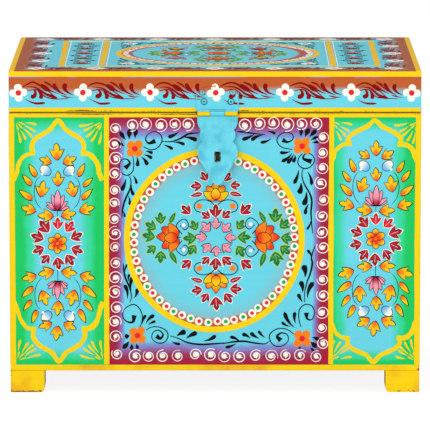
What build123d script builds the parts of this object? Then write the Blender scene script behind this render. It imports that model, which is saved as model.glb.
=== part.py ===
from build123d import *
import os

# Hinged wooden storage box, closed, hasp hanging just clear of its staple.
# +X is the right-hand end seen from the front, +Y the back, +Z up, millimetres.

# Outside of the closed box, feet included
box_width = 410.0
box_depth = 285.0
box_height = 325.0
lid_height = 42.0

# Boards
wall = 12.0
lid_board = 6.0
base_board = 6.0
lid_gap = 0.4
arris = 1.0

# Corner feet
foot_width = 34.0
foot_height = 22.0
foot_round = 4.5

# Nails and screws
nail_width = 1.6
nail_head_width = 3.4
nail_head = 0.8
nail_length = 30.0
foot_nail_length = 20.0
foot_nail_inset = 10.0
nail_clearance = 0.05
corner_nails = 3
lid_corner_nails = 2
long_nails = 3
short_nails = 2
screw_radius = 1.4
screw_length = 10.0
screw_clearance = 0.05
screw_point = 2.0
flat_head_radius = 2.6
round_head_radius = 2.6
round_head = 1.6
round_head_rim = 0.6
round_head_top = 1.7
driver_slot_width = 0.6
driver_slot_depth = 0.6

# Back hinges
hinge_spacing = 230.0
hinge_width = 50.0
hinge_leaf = 24.0
hinge_sheet = 1.4
hinge_knuckle = 16.0
hinge_corner = 2.5
hinge_screws = 2

# Hasp on the front
hasp_offset = 2.5
hasp_sheet = 1.2
hasp_leaf_width = 42.0
hasp_shoulder = 20.5
hasp_crown = 6.7
hasp_barrel = 40.0
hasp_knuckle = 14.4
hasp_face_gap = 0.4
hasp_rest_angle = 11.0
hasp_screw_across = 26.8
hasp_screw_low = 11.2
hasp_screw_high = 20.6
hasp_screw_high_across = 30.4

# Outline of the swinging hasp plate: half widths, and distances below the pin
top_half = 20.0
top_straight = 8.0
top_bulge_half = 19.1
notch_one_half = 16.2
notch_one = 16.6
lobe_half = 17.8
lobe_mid = 22.2
notch_two_half = 15.1
notch_two = 28.3
big_lobe_half = 19.9
big_lobe_mid = 38.0
shoulder_half = 17.6
shoulder_low = 47.0
tip_half = 4.2
tip_start = 69.4
tip_end = 71.6
slot_width = 6.5
slot_height = 10.6
slot_centre = 43.6

# Strap staple that the slot drops over
staple_width = 4.0
staple_sheet = 1.5
staple_height = 8.8
staple_reach = 8.5
staple_lift = 0.3
staple_clearance = 0.1
staple_tail = 7.0

# Pins, shared by the hinges and the hasp
pin_radius = 1.5
pin_clearance = 0.05
pin_head_radius = 2.1
pin_head = 0.9
knuckle_gap = 0.4
barrel_gap = 0.15
curl_slit = 0.35

# Places that follow from the sizes above
half_width = box_width / 2
half_depth = box_depth / 2
front_face = -half_depth
back_face = half_depth
inner_half_width = half_width - wall
inner_half_depth = half_depth - wall
split = box_height - lid_height
carcass_top = split - lid_gap / 2
lid_bottom = split + lid_gap / 2
floor_top = foot_height + base_board
lid_ceiling = box_height - lid_board
bore_radius = pin_radius + pin_clearance
hinge_barrel_radius = bore_radius + hinge_sheet
hasp_barrel_radius = bore_radius + hasp_sheet
hinge_pin_y = back_face + hinge_barrel_radius + barrel_gap
hasp_pin_y = front_face - hasp_barrel_radius - barrel_gap
staple_centre = split - slot_centre + staple_lift
nail_hole = nail_width + 2 * nail_clearance
nail_head_hole = nail_head_width + 2 * nail_clearance
screw_hole = screw_radius + screw_clearance


# How near an edge's middle lies to the place that names it
same_place = 0.01


def spread(count, low, high):
    """count places with equal gaps between low and high, both ends used."""
    if count == 1:
        return [(low + high) / 2]
    step = (high - low) / (count - 1)
    return [low + step * i for i in range(count)]


def block(x, y, z):
    """A box from three (low, high) pairs."""
    size = [high - low for low, high in (x, y, z)]
    centre = [(high + low) / 2 for low, high in (x, y, z)]
    return Pos(*centre) * Box(*size)


def rounded(part, radius, axis, **place):
    """Rounds the edges along an axis whose middle has the given coordinates."""
    edges = part.edges().filter_by(axis)
    for letter, value in place.items():
        edges = edges.filter_by(lambda e: abs(getattr(e.center(), letter) - value) < same_place)
    return fillet(edges, radius)


def fastener_frame(place, direction):
    """A plane at a surface point whose normal points out of the surface."""
    return Plane(origin=place, z_dir=direction)


def nail(place, outward, length=nail_length):
    """A flush square-cut nail driven in against its outward direction."""
    shank = Pos(0, 0, -length / 2) * Box(nail_width, nail_width, length)
    head = Pos(0, 0, -nail_head / 2) * Box(nail_head_width, nail_head_width, nail_head)
    return fastener_frame(place, outward) * (shank + head)


def nail_cut(place, outward, length=nail_length):
    """The square hole that a nail fills, with its clearance."""
    depth = length + nail_clearance
    shank = Pos(0, 0, -depth / 2) * Box(nail_hole, nail_hole, depth)
    seat_depth = nail_head + nail_clearance
    seat = Pos(0, 0, -seat_depth / 2) * Box(nail_head_hole, nail_head_hole, seat_depth)
    return fastener_frame(place, outward) * (shank + seat)


def driver_slot(head_radius, top):
    """The slot sawn across a screw's head, whose highest point is at top."""
    size = (3 * head_radius, driver_slot_width, 2 * driver_slot_depth)
    return Pos(0, 0, top) * Box(*size)


def flat_screw(place, outward, length):
    """A countersunk screw whose head is flush with the surface."""
    head_depth = flat_head_radius - screw_radius
    outline = Polyline(
        (0, 0),
        (flat_head_radius, 0),
        (screw_radius, -head_depth),
        (screw_radius, -length + screw_point),
        (0, -length),
        close=True,
    )
    body = revolve(Plane.XZ * make_face(outline), Axis.Z)
    return fastener_frame(place, outward) * (body - driver_slot(flat_head_radius, 0))


def flat_screw_cut(place, outward, length):
    """Countersunk hole for a flat screw, with its clearance."""
    head_depth = flat_head_radius - screw_radius
    outline = Polyline(
        (0, 0),
        (flat_head_radius + screw_clearance, 0),
        (screw_hole, -head_depth),
        (screw_hole, -length - screw_clearance),
        (0, -length - screw_clearance),
        close=True,
    )
    body = revolve(Plane.XZ * make_face(outline), Axis.Z)
    return fastener_frame(place, outward) * body


def round_screw(place, outward, length):
    """A low-domed screw whose head sits on the surface."""
    outline = Polyline(
        (0, round_head),
        (round_head_top, round_head),
        (round_head_radius, round_head_rim),
        (round_head_radius, 0),
        (screw_radius, 0),
        (screw_radius, -length + screw_point),
        (0, -length),
        close=True,
    )
    body = revolve(Plane.XZ * make_face(outline), Axis.Z)
    slotted = body - driver_slot(round_head_radius, round_head)
    return fastener_frame(place, outward) * slotted


def round_screw_cut(place, outward, length):
    """Straight hole for a round-head screw, with its clearance."""
    depth = length + screw_clearance
    hole = Pos(0, 0, -depth / 2) * Cylinder(screw_hole, depth)
    return fastener_frame(place, outward) * hole


def knuckle(low_x, high_x, pin_y, radius, slit_toward):
    """A rolled barrel round the pin, with the slit where the curl ends."""
    ring = Circle(radius) - Circle(bore_radius)
    slit = Pos(slit_toward * radius / 2, radius / 2) * Rectangle(radius, curl_slit)
    barrel = extrude(Plane.YZ * (ring - slit), amount=high_x - low_x)
    return Pos(low_x, pin_y, split) * barrel


def pin(centre_x, length, pin_y):
    """A plain pin with a small head at each end."""
    shaft = Cylinder(pin_radius, length + 2 * pin_head)
    head = Cylinder(pin_head_radius, pin_head)
    offset = length / 2 + pin_head / 2
    heads = Pos(0, 0, offset) * head + Pos(0, 0, -offset) * head
    return Pos(centre_x, pin_y, split) * Rot(0, 90, 0) * (shaft + heads)


def corner_nail_places(low, high, count):
    """Nail points down both ends of the front and back faces."""
    rows = spread(count, low, high)
    for face, outward in ((front_face, (0, -1, 0)), (back_face, (0, 1, 0))):
        for side in (-1, 1):
            for z in rows:
                yield (side * (half_width - wall / 2), face, z), outward


def rim_nail_places(z, outward):
    """Nail points round the edge of a cover board, over the middle of the walls."""
    along = half_width - 2.5 * wall
    across = half_depth - 4 * wall
    for side in (-1, 1):
        for x in spread(long_nails, -along, along):
            yield (x, side * (half_depth - wall / 2), z), outward
        for y in spread(short_nails, -across, across):
            yield (side * (half_width - wall / 2), y, z), outward


def drilled(part, places, cut, *sizes):
    """The part with a hole at each place that its box reaches."""
    box = part.bounding_box()
    for place, outward in places:
        hole = cut(place, outward, *sizes)
        reach = hole.bounding_box()
        apart = (
            reach.max.X < box.min.X
            or reach.min.X > box.max.X
            or reach.max.Y < box.min.Y
            or reach.min.Y > box.max.Y
            or reach.max.Z < box.min.Z
            or reach.min.Z > box.max.Z
        )
        if not apart:
            part = part - hole
    return part


def hinge_centres():
    """Middle of each back hinge along X."""
    return {"left": -hinge_spacing / 2, "right": hinge_spacing / 2}


def hinge_screw_places(side):
    """Screw points of both back hinges on the lid (side 1) or carcass (side -1)."""
    reach = hinge_width / 2 - hinge_leaf / 4
    z = split + side * (hinge_barrel_radius + (hinge_leaf - hinge_barrel_radius) / 2)
    for centre in hinge_centres().values():
        for x in spread(hinge_screws, centre - reach, centre + reach):
            yield (x, back_face + hinge_sheet, z), (0, 1, 0)


def foot_nail_places():
    """Two nails down into each foot, set on its diagonal."""
    for sx in (-1, 1):
        for sy in (-1, 1):
            for inset in (wall + foot_nail_inset / 2, foot_width - foot_nail_inset / 2):
                x = sx * (half_width - inset)
                y = sy * (half_depth - (foot_width + wall - inset))
                yield (x, y, floor_top), (0, 0, 1)


def hasp_screw_places():
    """Four screw points of the fixed hasp leaf."""
    face = front_face - hasp_sheet
    for side in (-1, 1):
        x = hasp_offset + side * hasp_screw_across / 2
        yield (x, face, split + hasp_screw_low), (0, -1, 0)
        x = hasp_offset + side * hasp_screw_high_across / 2
        yield (x, face, split + hasp_screw_high), (0, -1, 0)


def staple_slots():
    """The two mortises in the front board that the staple's legs pass through."""
    width = staple_width + 2 * staple_clearance
    thick = staple_sheet + 2 * staple_clearance
    x = (hasp_offset - width / 2, hasp_offset + width / 2)
    for side in (-1, 1):
        z = staple_centre + side * (staple_height - staple_sheet) / 2
        yield block(x, (front_face, front_face + wall), (z - thick / 2, z + thick / 2))


# Boards of the carcass
def carcass_front():
    z = (floor_top, carcass_top)
    board = block((-half_width, half_width), (front_face, front_face + wall), z)
    board = rounded(board, arris, Axis.Z, Y=front_face)
    board = rounded(board, arris, Axis.X, Y=front_face, Z=carcass_top)
    for slot in staple_slots():
        board = board - slot
    return board


def carcass_back():
    z = (floor_top, carcass_top)
    board = block((-half_width, half_width), (back_face - wall, back_face), z)
    board = rounded(board, arris, Axis.Z, Y=back_face)
    return rounded(board, arris, Axis.X, Y=back_face, Z=carcass_top)


def carcass_end(side):
    x = sorted((side * inner_half_width, side * half_width))
    board = block(x, (-inner_half_depth, inner_half_depth), (floor_top, carcass_top))
    return rounded(board, arris, Axis.Y, X=side * half_width, Z=carcass_top)


def cover_board(low, high, outer):
    """A full-size board over or under the walls, with its outer edges eased."""
    board = block((-half_width, half_width), (-half_depth, half_depth), (low, high))
    board = fillet(board.edges().filter_by(Axis.Z), arris)
    faces = board.faces().filter_by(Axis.Z)
    outside = faces.filter_by(lambda f: abs(f.center().Z - outer) < same_place)
    return fillet(outside.edges(), arris)


# Boards of the lid
def lid_long_rail(face, inner):
    y = sorted((face, inner))
    rail = block((-half_width, half_width), y, (lid_bottom, lid_ceiling))
    rail = rounded(rail, arris, Axis.Z, Y=face)
    return rounded(rail, arris, Axis.X, Y=face, Z=lid_bottom)


def lid_short_rail(side):
    x = sorted((side * inner_half_width, side * half_width))
    rail = block(x, (-inner_half_depth, inner_half_depth), (lid_bottom, lid_ceiling))
    return rounded(rail, arris, Axis.Y, X=side * half_width, Z=lid_bottom)


def foot(sx, sy):
    """A corner block with its two inner lower edges rounded over."""
    x = sorted((sx * half_width, sx * (half_width - foot_width)))
    y = sorted((sy * half_depth, sy * (half_depth - foot_width)))
    body = block(x, y, (0, foot_height))
    body = rounded(body, arris, Axis.Z, X=sx * half_width, Y=sy * half_depth)
    inner_x = sx * (half_width - foot_width)
    body = rounded(body, foot_round, Axis.Y, X=inner_x, Z=0)
    inner_y = sy * (half_depth - foot_width)
    return rounded(body, foot_round, Axis.X, Y=inner_y, Z=0)


# Back hinges
def hinge_plate(centre, side):
    """The flat of one hinge leaf, from the barrel to its rounded corners."""
    low = split + side * hinge_barrel_radius / 2
    high = split + side * hinge_leaf
    x = (centre - hinge_width / 2, centre + hinge_width / 2)
    plate = block(x, (back_face, back_face + hinge_sheet), sorted((low, high)))
    return rounded(plate, hinge_corner, Axis.Y, Z=high)


def hinge_leaf_part(centre, side):
    """One leaf of a back hinge: the lid's has the middle knuckle, the carcass's two."""
    plate = hinge_plate(centre, side)
    half = hinge_width / 2
    inner = hinge_knuckle / 2
    spans = [(centre - inner, centre + inner)]
    others = [(centre - half, centre - inner - knuckle_gap)]
    others.append((centre + inner + knuckle_gap, centre + half))
    if side < 0:
        spans, others = others, spans
    radius = hinge_barrel_radius
    clear = radius + knuckle_gap
    for low, high in others:
        x = (low - knuckle_gap, high + knuckle_gap)
        plate = plate - block(x, (back_face, back_face + clear), (split - clear, split + clear))
    hole = Pos(centre, hinge_pin_y, split) * Rot(0, 90, 0)
    plate = plate - hole * Cylinder(bore_radius, hinge_width * 2)
    for low, high in spans:
        plate = plate + knuckle(low, high, hinge_pin_y, radius, 1)
    return drilled(plate, hinge_screw_places(side), flat_screw_cut, screw_length)


# Hasp and staple
def hasp_leaf():
    """The fixed leaf on the lid, with an arched top and the two outer knuckles."""
    half = hasp_leaf_width / 2
    low = hasp_barrel_radius / 2
    arch = ThreePointArc(
        (half, hasp_shoulder), (0, hasp_shoulder + hasp_crown), (-half, hasp_shoulder)
    )
    sides = Polyline((-half, hasp_shoulder), (-half, low), (half, low), (half, hasp_shoulder))
    flat = extrude(Plane.XZ * make_face(sides + arch), amount=hasp_sheet)
    leaf = Pos(hasp_offset, front_face, split) * flat
    radius = hasp_barrel_radius
    clear = radius + knuckle_gap
    inner = hasp_knuckle / 2 + knuckle_gap
    notch_x = (hasp_offset - inner, hasp_offset + inner)
    notch_z = (split - clear, split + clear)
    leaf = leaf - block(notch_x, (front_face - clear, front_face), notch_z)
    bore = Pos(hasp_offset, hasp_pin_y, split) * Rot(0, 90, 0)
    leaf = leaf - bore * Cylinder(bore_radius, hasp_leaf_width * 2)
    half_barrel = hasp_barrel / 2
    spans = ((hasp_offset - half_barrel, notch_x[0]), (notch_x[1], hasp_offset + half_barrel))
    for low_x, high_x in spans:
        leaf = leaf + knuckle(low_x, high_x, hasp_pin_y, radius, -1)
    return drilled(leaf, hasp_screw_places(), round_screw_cut, screw_length)


def hasp_outline():
    """The scalloped outline below the barrel, symmetrical about the middle."""
    start = hasp_barrel_radius + knuckle_gap
    edges = [Line((top_half, -start), (top_half, -top_straight))]
    edges.append(ThreePointArc(
        (top_half, -top_straight),
        (top_bulge_half, -(top_straight + notch_one) / 2),
        (notch_one_half, -notch_one),
    ))
    edges.append(ThreePointArc(
        (notch_one_half, -notch_one), (lobe_half, -lobe_mid), (notch_two_half, -notch_two)
    ))
    edges.append(ThreePointArc(
        (notch_two_half, -notch_two),
        (big_lobe_half, -big_lobe_mid),
        (shoulder_half, -shoulder_low),
    ))
    edges.append(Line((shoulder_half, -shoulder_low), (tip_half, -tip_start)))
    right = edges[0]
    for edge in edges[1:]:
        right = right + edge
    left = mirror(right, Plane.YZ)
    tip = ThreePointArc((tip_half, -tip_start), (0, -tip_end), (-tip_half, -tip_start))
    top = Line((-top_half, -start), (top_half, -start))
    return make_face(right + tip + left + top)


def hasp_plate():
    """The swinging plate: scalloped sheet, staple slot and middle knuckle, hung at rest."""
    sheet = extrude(Plane.XZ * hasp_outline(), amount=hasp_sheet)
    sheet = Pos(hasp_offset, front_face - hasp_face_gap, split) * sheet
    start = hasp_barrel_radius + knuckle_gap
    half = hasp_knuckle / 2
    x = (hasp_offset - half, hasp_offset + half)
    y = (front_face - hasp_face_gap - hasp_sheet, front_face - hasp_face_gap)
    neck = block(x, y, (split - start - arris, split - hasp_barrel_radius / 2))
    bore = Pos(hasp_offset, hasp_pin_y, split) * Rot(0, 90, 0)
    neck = neck - bore * Cylinder(bore_radius, hasp_leaf_width)
    plate = sheet + neck + knuckle(*x, hasp_pin_y, hasp_barrel_radius, -1)
    slot_x = (hasp_offset - slot_width / 2, hasp_offset + slot_width / 2)
    middle = split - slot_centre
    slot_z = (middle - slot_height / 2, middle + slot_height / 2)
    reach = hasp_barrel_radius * 2
    plate = plate - block(slot_x, (front_face - reach, front_face), slot_z)
    axis = Axis((0, hasp_pin_y, split), (-1, 0, 0))
    return plate.rotate(axis, hasp_rest_angle)


def staple():
    """A flat strap bent to a loop, its legs through the board and clenched inside."""
    half = staple_height / 2
    bend = half - staple_sheet
    front = front_face - staple_reach
    inside = front_face + wall
    outer = Rectangle(staple_reach + wall + staple_sheet, staple_height)
    outer = Pos((front + inside + staple_sheet) / 2, 0) * outer
    outer = fillet(outer.vertices().group_by(Axis.X)[0], bend)
    inner_length = staple_reach + wall
    inner = Rectangle(inner_length, staple_height - 2 * staple_sheet)
    inner = Pos(front + staple_sheet + inner_length / 2, 0) * inner
    inner = fillet(inner.vertices().group_by(Axis.X)[0], bend - staple_sheet / 2)
    loop = outer - inner
    loop = loop - Pos(inside + staple_sheet, 0) * Rectangle(
        staple_sheet * 2, staple_height - 2 * staple_sheet)
    tail = Rectangle(staple_sheet, staple_tail)
    reach = half - staple_sheet + staple_tail / 2
    for side in (-1, 1):
        loop = loop + Pos(inside + staple_sheet / 2, side * reach) * tail
    strap = extrude(Plane.YZ * loop, amount=staple_width)
    return Pos(hasp_offset - staple_width / 2, 0, staple_centre) * strap


# Every nail and screw, by the piece that it holds
low_nail = floor_top + 2 * wall
carcass_nail_places = list(corner_nail_places(low_nail, carcass_top - 2 * wall, corner_nails))
lid_low_nail = lid_bottom + wall * 0.75
lid_high_nail = lid_ceiling - wall * 0.75
lid_nail_places = list(corner_nail_places(lid_low_nail, lid_high_nail, lid_corner_nails))
top_nail_places = list(rim_nail_places(box_height, (0, 0, 1)))
base_nail_places = list(rim_nail_places(foot_height, (0, 0, -1)))


def nailed(part, *lists):
    for places in lists:
        part = drilled(part, places, nail_cut)
    return part


def group(solids):
    return Compound(children=list(solids))


parts = {}

front = nailed(carcass_front(), carcass_nail_places, base_nail_places)
back = nailed(carcass_back(), carcass_nail_places, base_nail_places)
parts["front_board"] = front
parts["back_board"] = drilled(back, hinge_screw_places(-1), flat_screw_cut, screw_length)
parts["left_end_board"] = nailed(carcass_end(-1), carcass_nail_places, base_nail_places)
parts["right_end_board"] = nailed(carcass_end(1), carcass_nail_places, base_nail_places)
base = nailed(cover_board(foot_height, floor_top, foot_height), base_nail_places)
parts["bottom_board"] = drilled(base, foot_nail_places(), nail_cut, foot_nail_length)

for fore, sy in (("front", -1), ("back", 1)):
    for hand, sx in (("left", -1), ("right", 1)):
        block_foot = foot(sx, sy)
        parts[f"foot_{fore}_{hand}"] = drilled(
            block_foot, foot_nail_places(), nail_cut, foot_nail_length)

lid_front = nailed(lid_long_rail(front_face, front_face + wall), lid_nail_places, top_nail_places)
lid_back = nailed(lid_long_rail(back_face, back_face - wall), lid_nail_places, top_nail_places)
parts["lid_front_rail"] = drilled(lid_front, hasp_screw_places(), round_screw_cut, screw_length)
parts["lid_back_rail"] = drilled(lid_back, hinge_screw_places(1), flat_screw_cut, screw_length)
parts["lid_left_rail"] = nailed(lid_short_rail(-1), lid_nail_places, top_nail_places)
parts["lid_right_rail"] = nailed(lid_short_rail(1), lid_nail_places, top_nail_places)
parts["lid_top_board"] = nailed(cover_board(lid_ceiling, box_height, box_height), top_nail_places)

for hand, centre in hinge_centres().items():
    parts[f"back_hinge_{hand}_lid_leaf"] = hinge_leaf_part(centre, 1)
    parts[f"back_hinge_{hand}_carcass_leaf"] = hinge_leaf_part(centre, -1)
    parts[f"back_hinge_{hand}_pin"] = pin(centre, hinge_width, hinge_pin_y)

parts["hasp_leaf"] = hasp_leaf()
parts["hasp_pin"] = pin(hasp_offset, hasp_barrel, hasp_pin_y)
parts["hasp_plate"] = hasp_plate()
parts["staple"] = staple()

parts["carcass_corner_nails"] = group(nail(*p) for p in carcass_nail_places)
parts["bottom_board_nails"] = group(nail(*p) for p in base_nail_places)
parts["lid_corner_nails"] = group(nail(*p) for p in lid_nail_places)
parts["lid_top_nails"] = group(nail(*p) for p in top_nail_places)
parts["foot_nails"] = group(nail(*p, foot_nail_length) for p in foot_nail_places())
parts["carcass_hinge_screws"] = group(
    flat_screw(*p, screw_length) for p in hinge_screw_places(-1))
parts["lid_hinge_screws"] = group(flat_screw(*p, screw_length) for p in hinge_screw_places(1))
parts["hasp_screws"] = group(round_screw(*p, screw_length) for p in hasp_screw_places())

# The origin is under the middle of everything, hasp and hinge barrels included
whole = Compound(children=[Pos(0, 0, 0) * part for part in parts.values()])
middle_y = whole.bounding_box().center().Y
origin_shift = Pos(0, -middle_y, 0)

os.makedirs("parts", exist_ok=True)
for name, part in parts.items():
    export_step(origin_shift * part, f"parts/{name}.step")
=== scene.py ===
import math

import bpy
import numpy as np
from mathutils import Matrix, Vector


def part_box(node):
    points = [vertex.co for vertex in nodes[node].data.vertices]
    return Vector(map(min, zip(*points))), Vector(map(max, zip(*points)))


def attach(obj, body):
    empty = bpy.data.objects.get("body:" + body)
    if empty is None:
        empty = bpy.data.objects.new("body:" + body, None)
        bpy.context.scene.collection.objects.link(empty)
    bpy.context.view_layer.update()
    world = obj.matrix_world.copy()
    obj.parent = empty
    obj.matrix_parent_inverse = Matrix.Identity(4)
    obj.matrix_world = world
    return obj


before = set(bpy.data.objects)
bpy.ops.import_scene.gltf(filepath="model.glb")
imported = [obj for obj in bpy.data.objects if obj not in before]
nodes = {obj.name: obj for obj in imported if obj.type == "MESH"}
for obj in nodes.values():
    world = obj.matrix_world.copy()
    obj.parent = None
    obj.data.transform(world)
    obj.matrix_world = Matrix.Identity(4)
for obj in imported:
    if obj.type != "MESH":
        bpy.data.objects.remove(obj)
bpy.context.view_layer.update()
rng = np.random.default_rng(21)
print("frame loaded:", len(nodes), "nodes")

# Places read from the frame, in millimetres
mm = 0.001
frontLow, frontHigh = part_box("front_board")
topLow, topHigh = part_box("lid_top_board")
baseLow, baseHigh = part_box("bottom_board")
leafLow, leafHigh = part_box("hasp_leaf")
faceY = frontLow.y / mm
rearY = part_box("back_board")[1].y / mm
middleY = (faceY + rearY) / 2
halfWide = frontHigh.x / mm
halfDeep = (rearY - faceY) / 2
floorTop = baseHigh.z / mm
carcassTop = frontHigh.z / mm
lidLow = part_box("lid_front_rail")[0].z / mm
railTop = topLow.z / mm
boxTop = topHigh.z / mm
jointZ = (carcassTop + lidLow) / 2
haspX = (leafLow.x + leafHigh.x) / 2 / mm
haspSheet = 1.2
leafRadius = 21.0

# Colours as they are seen in the photograph, 0 to 255
colours = {
    "turquoise": (108, 216, 234),
    "turquoiseDeep": (84, 188, 214),
    "green": (30, 203, 98),
    "teal": (58, 218, 160),
    "yellow": (254, 214, 16),
    "amber": (240, 170, 30),
    "terracotta": (196, 96, 46),
    "russet": (180, 94, 54),
    "crimson": (170, 32, 64),
    "crimsonViolet": (158, 54, 94),
    "violet": (158, 92, 152),
    "periwinkle": (128, 144, 212),
    "wood": (196, 150, 98),
    "woodDark": (170, 122, 76),
    # dark brown for dirty chips, and for the painted shade of the gap along the lid's joint
    "grimeAndShade": (92, 62, 38),
    "ink": (12, 14, 18),
    "white": (252, 250, 238),
    "red": (236, 38, 48),
    "dotGreen": (28, 176, 78),
    "orange": (255, 132, 26),
    "orangeDeep": (238, 66, 22),
    "gold": (252, 196, 20),
    "darkRed": (140, 0, 4),
    "goldTop": (255, 200, 0),
    "maroon": (146, 16, 30),
    "maroonLight": (188, 38, 56),
    "leafGreen": (24, 146, 74),
    "leafGreenDark": (10, 112, 58),
    "lime": (196, 214, 66),
    "pink": (250, 158, 178),
    "pinkDeep": (196, 44, 84),
    "blush": (255, 226, 232),
    "sky": (120, 190, 236),
    "iron": (50, 42, 38),
    "rust": (96, 54, 34),
}


def tint(name):
    # sRGB to linear: the usual power of 2.4 with its straight foot
    value = np.array(colours[name]) / 255
    linear = np.where(value <= 0.04045, value / 12.92, ((value + 0.055) / 1.055) ** 2.4)
    return (*linear.tolist(), 1.0)


# Shader tools
class Field:
    # something that changes over a surface; arithmetic on it adds Math nodes to its tree
    def __init__(self, tree, socket):
        self.tree = tree
        self.socket = socket

    def __add__(self, other):
        return calc("ADD", self, other)

    def __sub__(self, other):
        return calc("SUBTRACT", self, other)

    def __rsub__(self, other):
        return calc("SUBTRACT", other, self)

    def __mul__(self, other):
        return calc("MULTIPLY", self, other)

    def __truediv__(self, other):
        return calc("DIVIDE", self, other)

    def __gt__(self, other):
        return calc("GREATER_THAN", self, other)

    def __lt__(self, other):
        return calc("LESS_THAN", self, other)

    def __abs__(self):
        return calc("ABSOLUTE", self)


def feed(socket, value):
    if isinstance(value, Field):
        value.tree.links.new(value.socket, socket)
    elif isinstance(value, str):
        socket.default_value = tint(value)
    else:
        socket.default_value = value


def addNode(tree, kind, inputs=None, **settings):
    node = tree.nodes.new(kind)
    for name, value in settings.items():
        setattr(node, name, value)
    for name, value in (inputs or {}).items():
        feed(node.inputs[name], value)
    return node


def addField(tree, output, kind, inputs=None, **settings):
    return Field(tree, addNode(tree, kind, inputs, **settings).outputs[output])


def calc(operation, *values):
    tree = next(value.tree for value in values if isinstance(value, Field))
    return addField(tree, 0, "ShaderNodeMath", dict(enumerate(values)), operation=operation)


def least(first, *others):
    for other in others:
        first = calc("MINIMUM", first, other)
    return first


def most(first, *others):
    for other in others:
        first = calc("MAXIMUM", first, other)
    return first


def rise(value, low, high):
    # 0 below low, 1 above high, a smooth step between
    limits = {"Value": value, "From Min": low, "From Max": high}
    return addField(value.tree, "Result", "ShaderNodeMapRange", limits, interpolation_type="SMOOTHSTEP")


def between(value, low, high, soft=0.4):
    # 1 from low to high, with soft edges
    return rise(value, low - soft, low + soft) - rise(value, high - soft, high + soft)


def blendColour(factor, first, second):
    return addField(factor.tree, 2, "ShaderNodeMix", {0: factor, 6: first, 7: second}, data_type="RGBA")


def ramp(factor, stops, low=0.0, high=1.0):
    # stops are (place, colour name), the two ends first, with places measured from low to high
    limits = {"Value": factor, "From Min": low, "From Max": high}
    share = addField(factor.tree, "Result", "ShaderNodeMapRange", limits)
    node = addNode(factor.tree, "ShaderNodeValToRGB", {"Fac": share})
    bar = node.color_ramp
    bar.interpolation = "EASE"
    for index, (place, colour) in enumerate(stops):
        position = (place - low) / (high - low)
        point = bar.elements[index] if index < 2 else bar.elements.new(position)
        point.position = position
        point.color = tint(colour)
    return Field(factor.tree, node.outputs["Color"])


def stretched(place, stretch):
    return addField(place.tree, 0, "ShaderNodeVectorMath", {0: place, 1: stretch}, operation="MULTIPLY")


def noise(place, scale, detail=3.0, rough=0.5, stretch=(1, 1, 1)):
    inputs = {"Vector": stretched(place, stretch), "Scale": scale, "Detail": detail, "Roughness": rough}
    return addField(place.tree, "Fac", "ShaderNodeTexNoise", inputs)


def sprayNoise(place):
    # the uneven edge of the sprayed grounds
    return noise(place, 26, 3, 0.55)


def inMillimetres(place):
    # x and y from the box's middle, z from the ground
    split = addNode(place.tree, "ShaderNodeSeparateXYZ", {"Vector": place})
    x, y, z = (Field(place.tree, split.outputs[axis]) * (1 / mm) for axis in "XYZ")
    return x, y - middleY, z


def pastFaces(x, y):
    # how far a point lies out past the ends and past the front or back
    return abs(x) - halfWide, abs(y) - halfDeep


def newGroup(name, inputs, outputs):
    # inputs are (name, start), where a start is a colour name, a number or None for a vector
    group = bpy.data.node_groups.new(name, "ShaderNodeTree")
    kinds = {str: "NodeSocketColor", float: "NodeSocketFloat", type(None): "NodeSocketVector"}
    for socketName, start in inputs:
        kind = kinds[type(start)]
        socket = group.interface.new_socket(name=socketName, in_out="INPUT", socket_type=kind)
        if start is not None:
            feed(socket, start)
    for socketName in outputs:
        kind = "NodeSocketColor" if socketName == "Colour" else "NodeSocketFloat"
        group.interface.new_socket(name=socketName, in_out="OUTPUT", socket_type=kind)
    start = group.nodes.new("NodeGroupInput")
    end = group.nodes.new("NodeGroupOutput")
    given = {socketName: Field(group, start.outputs[socketName]) for socketName, _ in inputs}
    return group, given, end.inputs


def useGroup(group, **inputs):
    tree = inputs["Place"].tree
    node = addNode(tree, "ShaderNodeGroup", node_tree=group)
    for name, value in inputs.items():
        feed(node.inputs[name], value)
    return {socket.name: Field(tree, socket) for socket in node.outputs}


def brushedEnamelGroup():
    # long noise along the brush makes streaks in colour, gloss and height
    sockets = [("Colour", "turquoise"), ("Place", None), ("Streak", 0.12)]
    group, given, result = newGroup("brushedEnamel", sockets, ["Colour", "Roughness", "Height"])
    streaks = noise(given["Place"], 160, 4, 0.6, (0.12, 0.5, 1))
    clouds = noise(given["Place"], 14, 2, 0.5)
    brightness = (streaks * 0.6 + clouds * 0.4 - 0.5) * given["Streak"] + 1.0
    inputs = {0: given["Colour"], "Scale": brightness}
    feed(result["Colour"], addField(group, 0, "ShaderNodeVectorMath", inputs, operation="SCALE"))
    feed(result["Roughness"], clouds * 0.25 + 0.28)
    feed(result["Height"], streaks)
    return group


def wearGroup():
    # chips and dirt: broken noise, stronger where Edge says how many millimetres an edge is away
    sockets = [("Place", None), ("Edge", 10.0), ("Reach", 3.0), ("Amount", 0.5)]
    group, given, result = newGroup("edgeWear", sockets, ["Mask"])
    near = 1.0 - rise(given["Edge"] / given["Reach"], 0.0, 1.0)
    coarse = noise(given["Place"], 70, 5, 0.7, (0.25, 0.6, 1.4))
    fine = noise(given["Place"], 420, 4, 0.7)
    limit = 0.86 - near * (given["Amount"] * 0.44)
    feed(result["Mask"], rise(coarse * 0.65 + fine * 0.35, limit, limit + 0.05))
    return group


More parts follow.
